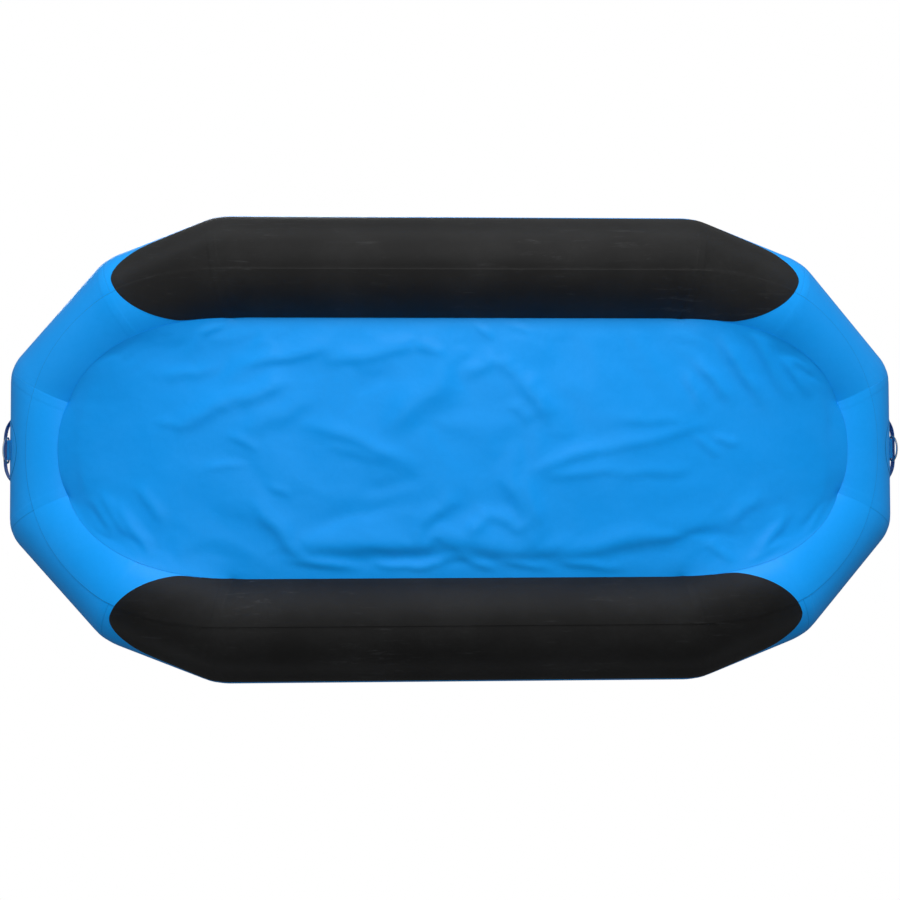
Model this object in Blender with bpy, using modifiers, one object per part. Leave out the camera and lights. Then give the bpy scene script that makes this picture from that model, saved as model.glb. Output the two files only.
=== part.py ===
"""A 13 ft whitewater raft with a four-chamber mitred tube, two thwarts and a glued-in floor.

The raft stands upright on its side tubes: +Z is up, the bow points to +X and port is +Y.
The origin is under the middle of the raft, at the height of the ground.
"""

import math

import bmesh
import bpy
from mathutils import Matrix, Vector

# Main tube, measured along its centre line
RAFT_WIDTH = 1.98
TUBE_DIAMETER = 0.482
SIDE_HALF_LENGTH = 0.968
KICK_LENGTH = 0.379
KICK_INSET = 0.143
KICK_RISE = 0.030
DIAGONAL_LENGTH = 0.364
DIAGONAL_RISE = 0.191
NOSE_HALF_WIDTH = 0.277
TUBE_SIDES = 32

# Fabric thicknesses and the clearances between glued or touching pieces
TUBE_WALL = 0.0011
STRIP_THICKNESS = 0.0011
WEAR_THICKNESS = 0.0013
PATCH_THICKNESS = 0.0012
FLOOR_THICKNESS = 0.0012
GAP = 0.0003
OVERRUN = 0.02

# Floor sheet and the strip that glues it to the tube
FLOOR_SIDE_ANGLE = math.radians(58.5)
FLOOR_NOSE_ANGLE = math.radians(6.0)
FLOOR_STRAIGHT_SHARE = 0.88
FLOOR_MIDDLE_HEIGHT = 0.085
FLOOR_CREASE_CLEARANCE = 0.0014
FLOOR_RINGS = 5
FLOOR_SPOKES = 60
STRIP_SIDE_ANGLE = math.radians(5.5)
STRIP_NOSE_ANGLE = math.radians(30.0)
STRIP_STRAIGHT_SHARE = 0.98
STRIP_LAP = 0.0015
OVAL_POWER = 2.2
OVAL_POINTS = 9

# Wear patches, placed from the side mitre along the kick tube
WEAR_EDGE_ANGLE = math.radians(78.0)
WEAR_REACH = 0.450
WEAR_ROUND_LENGTH = 0.350
WEAR_APEX_OFFSET = 0.100
WEAR_OUTER_WIDTH = 0.145
WEAR_INNER_WIDTH = 0.305
WEAR_INNER_MARGIN = 0.230
WEAR_OUTER_POWER = 2.2
WEAR_INNER_POWER = 1.6
WEAR_POINTS = 7
WEAR_FLOOR_CLEARANCE = 0.0025

# Baffles between the chambers
BAFFLE_SKIRT = 0.040
BAFFLE_DOME = 0.085
BAFFLE_RINGS = 2

# Thwarts and their glued collars
THWART_DIAMETER_LESS = 0.172
THWART_TOP_BELOW = 0.031
THWART_STATION = 0.420
THWART_SIDES = 20
THWART_END_CLEARANCE = 0.0008
COLLAR_THICKNESS = 0.0012
COLLAR_LENGTH = 0.050
COLLAR_FLANGE = 0.022

# Carry handles at bow and stern
HANDLE_SPAN = 0.280
HANDLE_BOW = 0.035
HANDLE_WEBBING = 0.038
HANDLE_THICKNESS = 0.0035
HANDLE_TAB = 0.045
HANDLE_BOW_POWER = 4
HANDLE_STEPS = 14

# Round patch, sleeve and D-ring at bow and stern
END_PATCH_DIAMETER = 0.270
END_RING_ANGLE = math.radians(77.0)
END_RING_WIDTH = 0.110
END_RING_DEPTH = 0.066
END_RING_WIRE = 0.008
END_SLEEVE_WIDTH = 0.088
END_SLEEVE_TAB = 0.150

# Round patches, sleeves and D-rings along the side tubes
SIDE_PATCH_DIAMETER = 0.150
SIDE_RING_ANGLE = math.radians(140.0)
SIDE_RING_STATION = 0.560
SIDE_RING_WIDTH = 0.070
SIDE_RING_DEPTH = 0.050
SIDE_RING_WIRE = 0.006
SIDE_SLEEVE_WIDTH = 0.048
SIDE_SLEEVE_TAB = 0.100
SLEEVE_THICKNESS = 0.0025
RING_CLEARANCE = 0.0005
RING_REST_CLEARANCE = 0.0015
RING_CORNER_RADIUS = 0.010
RING_CORNER_STEPS = 2
RING_ARC_STEPS = 8
PATCH_SIDES = 20
SLEEVE_SIDES = 10

# Valves, with heights counted from the crown of the tube
VALVE_FROM_MITRE = 0.188
VALVE_NOSE_OFFSET = 0.100
VALVE_FROM_SIDE_TUBE = 0.208
FLANGE_RADIUS = 0.031
FLANGE_HEIGHT = 0.004
FLANGE_CHAMFER = 0.0015
FLANGE_SADDLE = 0.0040
BARREL_RADIUS = 0.023
BARREL_DEPTH = 0.030
BORE_RADIUS = 0.0175
BORE_CHAMFER = 0.001
SEAT_DEPTH = 0.020
SEAT_THICKNESS = 0.003
SEAT_RADIUS = 0.0125
OUTLET_RADIUS = 0.0155
HUB_RADIUS = 0.0062
SPIDER_ARM = 0.003
SPIDER_ARMS = 3
SPIDER_SETBACK = 0.0002
HUB_STEPS = 2
STEM_RADIUS = 0.0023
STEM_CLEARANCE = 0.0004
BUTTON_RADIUS = 0.008
BUTTON_DEPTH = 0.002
BUTTON_THICKNESS = 0.004
DISC_RADIUS = 0.0140
DISC_THICKNESS = 0.003
NUT_HEIGHT = 0.009
SPRING_RADIUS = 0.0045
SPRING_WIRE_RADIUS = 0.0005
SPRING_TURNS = 3
SPRING_POINTS = 8
CAP_RADIUS = 0.024
CAP_THICKNESS = 0.0033
CAP_ROOF = 0.0028
CAP_CHAMFER = 0.001
PLUG_RADIUS = 0.0162
PLUG_WALL = 0.0018
PLUG_DEPTH = 0.005
HINGE_OFFSET = 0.027
HINGE_RADIUS = 0.0023
HINGE_PIN_RADIUS = 0.0010
HINGE_PIN_CLEARANCE = 0.0003
HINGE_WIDTH = 0.008
HINGE_EAR = 0.003
LUG_ROOT = 0.022
TURNED_STEPS = 12
SMALL_SIDES = 8
SHARP_ANGLE = math.radians(40.0)

UP = Vector((0.0, 0.0, 1.0))
SMALLEST = 0.000001
TUBE_RADIUS = TUBE_DIAMETER / 2
THWART_RADIUS = (TUBE_DIAMETER - THWART_DIAMETER_LESS) / 2
THWART_RAISE = TUBE_RADIUS - THWART_TOP_BELOW - THWART_RADIUS
STRIP_OUTSIDE = TUBE_RADIUS + GAP + STRIP_THICKNESS
WEAR_OUTSIDE = STRIP_OUTSIDE + GAP + WEAR_THICKNESS
PATCH_OUTSIDE = TUBE_RADIUS + GAP + PATCH_THICKNESS
HALF_STEP = math.pi / TUBE_SIDES
SIDE_Y = RAFT_WIDTH / 2 - TUBE_RADIUS
VALVE_SIDE_STATION = SIDE_HALF_LENGTH - VALVE_FROM_MITRE
VALVE_THWART_OFFSET = SIDE_Y - TUBE_RADIUS - VALVE_FROM_SIDE_TUBE
SIDE_Z = WEAR_OUTSIDE * math.cos(HALF_STEP)
BEND_X = SIDE_HALF_LENGTH + KICK_LENGTH
BEND_Y = SIDE_Y - KICK_INSET
NOSE_X = BEND_X + DIAGONAL_LENGTH
NOSE_Z = SIDE_Z + KICK_RISE + DIAGONAL_RISE

# The tube's centre line, corner by corner, counterclockwise seen from above
QUARTER = (
    Vector((SIDE_HALF_LENGTH, SIDE_Y, SIDE_Z)),
    Vector((BEND_X, BEND_Y, SIDE_Z + KICK_RISE)),
    Vector((NOSE_X, NOSE_HALF_WIDTH, NOSE_Z)),
)


def signed(corner, x_sign, y_sign):
    return Vector((corner.x * x_sign, corner.y * y_sign, corner.z))


CORNERS = (
    [signed(corner, 1, -1) for corner in QUARTER]
    + [signed(corner, 1, 1) for corner in reversed(QUARTER)]
    + [signed(corner, -1, 1) for corner in QUARTER]
    + [signed(corner, -1, -1) for corner in reversed(QUARTER)]
)
# Corners by number, in the order of CORNERS
(
    STARBOARD_BOW_MITRE, BOW_STARBOARD_BEND, BOW_STARBOARD_NOSE,
    BOW_PORT_NOSE, BOW_PORT_BEND, PORT_BOW_MITRE,
    PORT_STERN_MITRE, STERN_PORT_BEND, STERN_PORT_NOSE,
    STERN_STARBOARD_NOSE, STERN_STARBOARD_BEND, STARBOARD_STERN_MITRE,
) = range(len(CORNERS))

COLOURS = {
    "tube_fabric": ((0.012, 0.290, 0.740), 0.45, 0.0),
    "floor_fabric": ((0.010, 0.340, 0.820), 0.45, 0.0),
    "wear_fabric": ((0.018, 0.018, 0.019), 0.55, 0.0),
    "navy_webbing": ((0.006, 0.050, 0.150), 0.75, 0.0),
    "baffle_fabric": ((0.250, 0.270, 0.300), 0.60, 0.0),
    "stainless_steel": ((0.550, 0.560, 0.570), 0.25, 1.0),
    "valve_plastic": ((0.020, 0.021, 0.023), 0.40, 0.0),
    "button_plastic": ((0.550, 0.560, 0.550), 0.40, 0.0),
}


def clear_scene():
    for old in list(bpy.data.objects):
        bpy.data.objects.remove(old)


def new_collection(name):
    collection = bpy.data.collections.new(name)
    bpy.context.scene.collection.children.link(collection)
    return collection


def make_material(name):
    colour, roughness, metallic = COLOURS[name]
    material = bpy.data.materials.new(name)
    material.use_nodes = True
    shader = material.node_tree.nodes["Principled BSDF"]
    shader.inputs["Base Color"].default_value = (*colour, 1.0)
    shader.inputs["Roughness"].default_value = roughness
    shader.inputs["Metallic"].default_value = metallic
    return material


clear_scene()
RAFT = new_collection("whitewater_raft")
CUTTERS = new_collection("cutters")
MATERIALS = {name: make_material(name) for name in COLOURS}


def add_mesh(name, mesh_in_edit, material=None, matrix=None):
    """Makes an object of a bmesh: a node where it has a material, and otherwise a cutter."""
    mesh = bpy.data.meshes.new(name)
    mesh_in_edit.to_mesh(mesh)
    mesh_in_edit.free()
    obj = bpy.data.objects.new(name, mesh)
    if matrix is not None:
        obj.matrix_world = matrix
    if material:
        mesh.materials.append(MATERIALS[material])
        mesh.shade_smooth()
        mesh.set_sharp_from_angle(angle=SHARP_ANGLE)
        RAFT.objects.link(obj)
    else:
        CUTTERS.objects.link(obj)
        obj.hide_render = True
        obj.display_type = "WIRE"
    return obj


def combine(obj, tool, operation):
    """Cuts, trims or joins an object with another by a live Boolean."""
    boolean = obj.modifiers.new(operation.lower(), "BOOLEAN")
    boolean.operation = operation
    boolean.object = tool
    return obj


def loft(loops, cyclic=False):
    """Skins a row of equal loops by extruding the first one from place to place."""
    shape = bmesh.new()
    first = [shape.verts.new(point) for point in loops[0]]
    edges = [shape.edges.new((a, b)) for a, b in zip(first, first[1:] + first[:1])]
    start = list(edges)
    for loop in loops[1:]:
        made = bmesh.ops.extrude_edge_only(shape, edges=edges)["geom"]
        shape.verts.index_update()
        fresh = [item for item in made if isinstance(item, bmesh.types.BMVert)]
        for vert, point in zip(fresh, loop):
            vert.co = point
        edges = [item for item in made if isinstance(item, bmesh.types.BMEdge)]
        edges = [edge for edge in edges if len(edge.link_faces) == 1]
    if cyclic:
        bmesh.ops.bridge_loops(shape, edges=start + edges)
    else:
        bmesh.ops.contextual_create(shape, geom=start)
        bmesh.ops.contextual_create(shape, geom=edges)
    bmesh.ops.triangulate(shape, faces=[face for face in shape.faces if len(face.verts) == 4])
    bmesh.ops.recalc_face_normals(shape, faces=shape.faces)
    return shape


def prism(outline, low, high):
    """A flat outline, raised from one height to another."""
    shape = bmesh.new()
    face = shape.faces.new([shape.verts.new((x, y, low)) for x, y in outline])
    raised = bmesh.ops.extrude_face_region(shape, geom=[face])["geom"]
    verts = [item for item in raised if isinstance(item, bmesh.types.BMVert)]
    bmesh.ops.translate(shape, verts=verts, vec=UP * (high - low))
    bmesh.ops.recalc_face_normals(shape, faces=shape.faces)
    return shape


def cylinder(radius, low, high, sides=SMALL_SIDES, turn=0.0):
    """A cylinder along Z, with its first corner turned from +X."""
    shape = bmesh.new()
    bmesh.ops.create_cone(
        shape, cap_ends=True, segments=sides, radius1=radius, radius2=radius, depth=high - low
    )
    bmesh.ops.rotate(shape, verts=shape.verts, matrix=Matrix.Rotation(turn, 3, "Z"))
    bmesh.ops.translate(shape, verts=shape.verts, vec=UP * (low + high) / 2)
    return shape


def block(low, high):
    """A box between two corners."""
    low = Vector(low)
    high = Vector(high)
    shape = bmesh.new()
    bmesh.ops.create_cube(shape, size=1.0)
    bmesh.ops.scale(shape, verts=shape.verts, vec=high - low)
    bmesh.ops.translate(shape, verts=shape.verts, vec=(low + high) / 2)
    return shape


def turned(name, profile, material=None, matrix=None):
    """A solid of revolution about Z, from a closed or axis-to-axis profile of radii and heights."""
    shape = bmesh.new()
    verts = [shape.verts.new((radius, 0.0, height)) for radius, height in profile]
    for a, b in zip(verts, verts[1:]):
        shape.edges.new((a, b))
    if profile[0][0] > 0.0:
        shape.edges.new((verts[-1], verts[0]))
    obj = add_mesh(name, shape, material, matrix)
    screw = obj.modifiers.new("turn", "SCREW")
    screw.steps = TURNED_STEPS
    screw.render_steps = TURNED_STEPS
    screw.use_merge_vertices = True
    screw.merge_threshold = 10 * SMALLEST
    return obj


# The tube's outlines in the mitre planes


def corner(number):
    return CORNERS[number % len(CORNERS)]


def direction(number):
    """The unit direction of the tube from this corner to the next."""
    return (corner(number + 1) - corner(number)).normalized()


def mitre_normal(number):
    return (direction(number - 1) + direction(number)).normalized()


def frame_direction(number):
    """The level length of tube at a corner, or its mitre where both lengths slope."""
    for candidate in (direction(number), direction(number - 1)):
        if abs(candidate.z) < SMALLEST:
            return candidate
    return mitre_normal(number)


def unit_outline(number):
    """A tube of radius one, as cut by the mitre plane of a corner, from straight down outwards."""
    along = frame_direction(number)
    outward = along.cross(UP).normalized()
    upward = outward.cross(along).normalized()
    normal = mitre_normal(number)
    axis = direction(number)
    points = []
    for step in range(TUBE_SIDES):
        angle = (2 * step + 1) * HALF_STEP
        point = outward * math.sin(angle) - upward * math.cos(angle)
        point -= along * (point.dot(normal) / along.dot(normal))
        reach = point - axis * point.dot(axis)
        points.append(point / reach.length)
    return points


def outline(number, radius):
    return [corner(number) + point * radius for point in unit_outline(number)]


def tube_run(first, last, radius):
    """A capped solid of the mitred tube from one corner to another."""
    return loft([outline(number, radius) for number in range(first, last + 1)])


def tube_ring(radius):
    """The whole mitred tube as one closed ring."""
    return loft([outline(number, radius) for number in range(len(CORNERS))], cyclic=True)


def toward(loop, other, share):
    """A loop moved a share of the way to another."""
    return [a.lerp(b, share) for a, b in zip(loop, other)]


def trimmed_run(first, last, radius):
    """The outlines of a chamber, held half a gap off its neighbours."""
    loops = [outline(number, radius) for number in range(first, last + 1)]
    start = GAP / 2 / (corner(first + 1) - corner(first)).length
    end = GAP / 2 / (corner(last) - corner(last - 1)).length
    return [toward(loops[0], loops[1], start), *loops[1:-1], toward(loops[-1], loops[-2], end)]


def height_under_tube(x, y, radius):
    """The lower height at which an upright line meets the round tube of this radius."""
    best = None
    for number in range(len(CORNERS)):
        start = corner(number)
        axis = direction(number)
        side = Vector((x, y, 0.0)) - start
        flat = side - axis * side.dot(axis)
        rise = UP - axis * axis.z
        a = rise.length_squared
        b = 2 * flat.dot(rise)
        c = flat.length_squared - radius * radius
        room = b * b - 4 * a * c
        if room < 0:
            continue
        height = (-b - math.sqrt(room)) / (2 * a)
        point = Vector((x, y, height))
        if (point - start).dot(mitre_normal(number)) < -GAP:
            continue
        if (point - corner(number + 1)).dot(mitre_normal(number + 1)) > GAP:
            continue
        best = height if best is None else min(best, height)
    return best


def oval(half_length, half_width, straight):
    """A smooth oval in plan: straight sides and drawn-out round ends."""
    quarter = []
    for step in range(OVAL_POINTS + 1):
        angle = math.pi / 2 * step / OVAL_POINTS
        x = straight + (half_length - straight) * math.cos(angle) ** (2 / OVAL_POWER)
        y = half_width * math.sin(angle) ** (2 / OVAL_POWER) if step else 0.0
        quarter.append((x, y))
    left = [(-x, y) for x, y in reversed(quarter)]
    upper = quarter + left
    return upper + [(x, -y) for x, y in reversed(upper[1:-1])]


def floor_oval(margin=0.0):
    """The floor sheet's edge on the tube, moved outwards by a margin."""
    return oval(
        NOSE_X - STRIP_OUTSIDE * math.sin(FLOOR_NOSE_ANGLE) + margin,
        SIDE_Y - STRIP_OUTSIDE * math.sin(FLOOR_SIDE_ANGLE) + margin,
        SIDE_HALF_LENGTH * FLOOR_STRAIGHT_SHARE,
    )


def strip_oval(margin=0.0):
    """The attachment strip's outer edge on the tube, moved outwards by a margin."""
    return oval(
        NOSE_X + TUBE_RADIUS * math.sin(STRIP_NOSE_ANGLE) + margin,
        SIDE_Y - TUBE_RADIUS * math.sin(STRIP_SIDE_ANGLE) + margin,
        SIDE_HALF_LENGTH * STRIP_STRAIGHT_SHARE,
    )


def low_prism(points, name):
    """A cutter over an outline, as tall as the strip and not up to the top of the tube."""
    highest_edge = NOSE_Z - TUBE_RADIUS * math.cos(STRIP_NOSE_ANGLE)
    lowest_top = SIDE_Z + TUBE_RADIUS * math.cos(FLOOR_SIDE_ANGLE)
    return add_mesh(name, prism(points, -OVERRUN, (highest_edge + lowest_top) / 2))


# Main tube and baffles


def make_chamber(name, first, last, valve):
    outer = trimmed_run(first, last, TUBE_RADIUS)
    inner = trimmed_run(first, last, TUBE_RADIUS - TUBE_WALL)
    chamber = add_mesh(name, loft(outer + inner[::-1], cyclic=True), "tube_fabric")
    hole = cylinder(BARREL_RADIUS + GAP, -BARREL_DEPTH - OVERRUN, OVERRUN, TURNED_STEPS)
    combine(chamber, add_mesh(f"{name}_valve_hole", hole, matrix=Matrix.Translation(valve)), "DIFFERENCE")


def make_baffle(name, number, into):
    """A domed diaphragm, with a skirt glued inside the side chamber."""
    radius = TUBE_RADIUS - TUBE_WALL - GAP
    seam = outline(number, radius)[::2]
    length = (corner(number - into) - corner(number)).length
    skirt = toward(seam, outline(number - into, radius)[::2], BAFFLE_SKIRT / length)
    centre = corner(number)
    bulge = mitre_normal(number) * into
    shape = bmesh.new()
    loops = [skirt, seam]
    for step in range(1, BAFFLE_RINGS + 1):
        angle = math.pi / 2 * step / (BAFFLE_RINGS + 1)
        lift = bulge * BAFFLE_DOME * math.sin(angle)
        loops.append([centre + (point - centre) * math.cos(angle) + lift for point in seam])
    rows = [[shape.verts.new(point) for point in loop] for loop in loops]
    apex = shape.verts.new(centre + bulge * BAFFLE_DOME)
    for row, following in zip(rows, rows[1:]):
        for a, b, c, d in zip(row, row[1:] + row[:1], following[1:] + following[:1], following):
            shape.faces.new((a, b, c))
            shape.faces.new((a, c, d))
    for a, b in zip(rows[-1], rows[-1][1:] + rows[-1][:1]):
        shape.faces.new((a, b, apex))
    bmesh.ops.recalc_face_normals(shape, faces=shape.faces)
    if (shape.faces[0].calc_center_median() - centre).dot(shape.faces[0].normal) < 0:
        bmesh.ops.reverse_faces(shape, faces=shape.faces)
    baffle = add_mesh(name, shape, "baffle_fabric")
    wall = baffle.modifiers.new("wall", "SOLIDIFY")
    wall.thickness = TUBE_WALL
    wall.offset = -1.0


# Floor


def make_floor():
    """The floor sheet: a shallow saddle held by its edge under the tube."""
    rim = [Vector((x, y, 0.0)) for x, y in spread(floor_oval(), FLOOR_SPOKES)]
    for point in rim:
        point.z = height_under_tube(point.x, point.y, STRIP_OUTSIDE + GAP) - FLOOR_CREASE_CLEARANCE
    middle = Vector((0.0, 0.0, FLOOR_MIDDLE_HEIGHT))
    shape = bmesh.new()
    centre = shape.verts.new(middle)
    previous = None
    for ring in range(1, FLOOR_RINGS + 1):
        share = ring / FLOOR_RINGS
        row = []
        for point in rim:
            height = middle.z + (point.z - middle.z) * share * share
            row.append(shape.verts.new((point.x * share, point.y * share, height)))
        for index in range(FLOOR_SPOKES):
            after = (index + 1) % FLOOR_SPOKES
            if previous is None:
                shape.faces.new((centre, row[index], row[after]))
            else:
                shape.faces.new((previous[index], row[index], row[after], previous[after]))
        previous = row
    floor = add_mesh("floor_sheet", shape, "floor_fabric")
    thick = floor.modifiers.new("thickness", "SOLIDIFY")
    thick.thickness = FLOOR_THICKNESS
    thick.offset = -1.0


def spread(points, count):
    """Points at equal steps along a closed outline."""
    places = [Vector(point) for point in points]
    spans = [(b - a).length for a, b in zip(places, places[1:] + places[:1])]
    step = sum(spans) / count
    found = []
    travelled = 0.0
    for start, end, span in zip(places, places[1:] + places[:1], spans):
        while len(found) < count and len(found) * step <= travelled + span:
            found.append(tuple(start.lerp(end, (len(found) * step - travelled) / span)))
        travelled += span
    return found


def make_strip():
    """The wide strip round the underside of the tube, under the floor's edge."""
    strip = add_mesh("floor_attachment_strip", tube_ring(STRIP_OUTSIDE), "tube_fabric")
    combine(strip, low_prism(strip_oval(), "strip_outer_edge"), "INTERSECT")
    combine(strip, low_prism(floor_oval(-STRIP_LAP), "strip_inner_edge"), "DIFFERENCE")
    combine(strip, add_mesh("strip_tube", tube_ring(TUBE_RADIUS + GAP)), "DIFFERENCE")


def wear_outline(y_sign):
    """The wear patch in plan, wider than the tube where its edge is cut by other pieces."""
    number = PORT_BOW_MITRE
    along = -direction(number - 1)
    along = Vector((along.x, along.y, 0.0)).normalized()
    outward = UP.cross(along)
    start = corner(number)
    points = []
    for step in range(-WEAR_POINTS, WEAR_POINTS + 1):
        angle = math.pi / 2 * step / WEAR_POINTS
        power = WEAR_INNER_POWER if step > 0 else WEAR_OUTER_POWER
        width = -WEAR_INNER_WIDTH if step > 0 else WEAR_OUTER_WIDTH
        reach = WEAR_REACH - WEAR_ROUND_LENGTH
        reach += WEAR_ROUND_LENGTH * max(0.0, math.cos(angle)) ** (2 / power)
        offset = WEAR_APEX_OFFSET + width * abs(math.sin(angle)) ** (2 / power)
        place = start + along * reach + outward * offset
        points.append((place.x, place.y))
    outer = start + outward_corner(number) * (TUBE_RADIUS + OVERRUN)
    inner = start - outward_corner(number) * WEAR_INNER_MARGIN
    half = [(outer.x, outer.y), *points, (inner.x, inner.y)]
    both = half + [(-x, y) for x, y in reversed(half)]
    return [(x, y * y_sign) for x, y in both]


def outward_corner(number):
    """The outward direction in a mitre plane, as long as it takes to reach a unit tube."""
    level = direction(number - 1).cross(UP).normalized()
    after = direction(number).cross(UP).normalized()
    middle = (level + after).normalized()
    return middle / middle.dot(level)


def make_wear_patch(name, y_sign, first, last):
    patch = add_mesh(name, tube_run(first, last, WEAR_OUTSIDE), "wear_fabric")
    top = SIDE_Z - TUBE_RADIUS * math.cos(WEAR_EDGE_ANGLE)
    shape = prism(wear_outline(y_sign), -OVERRUN, top)
    combine(patch, add_mesh(f"{name}_outline", shape), "INTERSECT")
    tube = add_mesh(f"{name}_tube", tube_run(first - 1, last + 1, TUBE_RADIUS + GAP))
    combine(patch, tube, "DIFFERENCE")
    room = add_mesh(f"{name}_strip_room", tube_run(first - 1, last + 1, STRIP_OUTSIDE + GAP))
    combine(room, low_prism(strip_oval(GAP), f"{name}_strip_edge"), "INTERSECT")
    combine(patch, room, "DIFFERENCE")
    combine(patch, low_prism(floor_oval(WEAR_FLOOR_CLEARANCE), f"{name}_floor_edge"), "DIFFERENCE")


# Thwarts


def thwart_rails(radius):
    """Places of the thwart's rails across its length, with a flat facet at the crown."""
    return [
        (radius * math.sin((2 * step + 1) * math.pi / THWART_SIDES),
         -radius * math.cos((2 * step + 1) * math.pi / THWART_SIDES))
        for step in range(THWART_SIDES)
    ]


def thwart_solid(radius, inset):
    """A cross tube, its ends cupped to the side tubes and held off them by an inset."""
    centre = SIDE_Z + THWART_RAISE
    seat = TUBE_RADIUS + GAP + THWART_END_CLEARANCE + inset
    shape = bmesh.new()
    ends = []
    for y_sign in (-1, 1):
        row = []
        for x, z in thwart_rails(radius):
            y = SIDE_Y - math.sqrt(seat * seat - (z + THWART_RAISE) ** 2)
            row.append(shape.verts.new((x, y * y_sign, centre + z)))
        ends.append(row)
    low, high = ends
    count = THWART_SIDES
    for index in range(count):
        after = (index + 1) % count
        shape.faces.new((low[index], low[after], high[after], high[index]))
    for row in ends:
        for index in range(count // 2 - 1):
            across = count - 1 - index
            shape.faces.new((row[index], row[index + 1], row[across - 1], row[across]))
    bmesh.ops.recalc_face_normals(shape, faces=shape.faces)
    return shape


def make_thwart(name, station):
    place = Matrix.Translation((station, 0.0, 0.0))
    thwart = add_mesh(name, thwart_solid(THWART_RADIUS, 0.0), "tube_fabric", place)
    inside = thwart_solid(THWART_RADIUS - TUBE_WALL, TUBE_WALL)
    combine(thwart, add_mesh(f"{name}_inside", inside, matrix=place), "DIFFERENCE")
    hole = cylinder(BARREL_RADIUS + GAP, -BARREL_DEPTH - OVERRUN, OVERRUN, TURNED_STEPS)
    valve = Matrix.Translation(thwart_valve(station))
    combine(thwart, add_mesh(f"{name}_valve_hole", hole, matrix=valve), "DIFFERENCE")
    add_collar(thwart, station, 1, PORT_BOW_MITRE)
    add_collar(thwart, station, -1, STARBOARD_STERN_MITRE)


def thwart_cylinder(name, radius, y_low, y_high, station):
    """A cutter along a thwart, with its facets in line with the thwart's."""
    loops = []
    for y in (y_low, y_high):
        loops.append([Vector((x, y, SIDE_Z + THWART_RAISE + z)) for x, z in thwart_rails(radius)])
    return add_mesh(name, loft(loops), matrix=Matrix.Translation((station, 0.0, 0.0)))


def add_collar(thwart, station, y_sign, run):
    """The glued tape round one end of a thwart: a cuff on it and a flange on the side tube."""
    label = f"{thwart.name}_collar_{'port' if y_sign > 0 else 'starboard'}"
    reach = math.sqrt(TUBE_RADIUS**2 - (THWART_RAISE + THWART_RADIUS) ** 2)
    cuff_start = SIDE_Y - TUBE_RADIUS - COLLAR_LENGTH

    def thwart_round(part, radius, low, high):
        return thwart_cylinder(f"{label}_{part}", radius, *sorted((low * y_sign, high * y_sign)), station)

    cuff = thwart_round("cuff", THWART_RADIUS + COLLAR_THICKNESS, cuff_start, SIDE_Y - reach / 2)
    flange = add_mesh(f"{label}_flange", tube_run(run, run + 1, TUBE_RADIUS + GAP + COLLAR_THICKNESS))
    edge = thwart_round("edge", THWART_RADIUS + COLLAR_FLANGE, cuff_start, SIDE_Y)
    combine(flange, edge, "INTERSECT")
    combine(cuff, flange, "UNION")
    bore = thwart_round("bore", THWART_RADIUS - TUBE_WALL / 2, cuff_start - OVERRUN, SIDE_Y + OVERRUN)
    combine(cuff, bore, "DIFFERENCE")
    combine(cuff, add_mesh(f"{label}_tube", tube_run(run, run + 1, TUBE_RADIUS + GAP)), "DIFFERENCE")
    combine(thwart, cuff, "UNION")


# Handles, patches and D-rings


def make_handle(name, x_sign):
    """A webbing strap that bows out from the nose tube, with its ends glued flat on it."""
    face = NOSE_X + TUBE_RADIUS * math.cos(HALF_STEP) + GAP + HANDLE_THICKNESS / 2
    half = HANDLE_SPAN / 2
    line = [-half - HANDLE_TAB]
    for step in range(HANDLE_STEPS + 1):
        line.append(half * math.sin(math.pi * step / HANDLE_STEPS - math.pi / 2))
    line.append(half + HANDLE_TAB)
    shape = bmesh.new()
    rows = []
    for y in line:
        bow = HANDLE_BOW * max(0.0, 1.0 - abs(y / half) ** HANDLE_BOW_POWER)
        rows.append([
            shape.verts.new(((face + bow) * x_sign, y, NOSE_Z + z))
            for z in (-HANDLE_WEBBING / 2, HANDLE_WEBBING / 2)
        ])
    for (a, b), (d, c) in zip(rows, rows[1:]):
        shape.faces.new((a, d, c, b))
    handle = add_mesh(name, shape, "navy_webbing")
    thick = handle.modifiers.new("thickness", "SOLIDIFY")
    thick.thickness = HANDLE_THICKNESS
    thick.offset = 0.0
    return handle


def anchor_frame(origin, outward, along):
    """A frame on the tube's skin: X points out of the tube, Y along it and Z upwards over it."""
    frame = Matrix.Identity(4)
    for column, axis in enumerate((outward, along, outward.cross(along))):
        for row in range(3):
            frame[row][column] = axis[row]
    frame.translation = origin
    return frame


def ring_bar_height(wire):
    """How far the bar of a D-ring lies from the tube's centre line."""
    return PATCH_OUTSIDE + SLEEVE_THICKNESS + wire / 2 + RING_CLEARANCE


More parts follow.
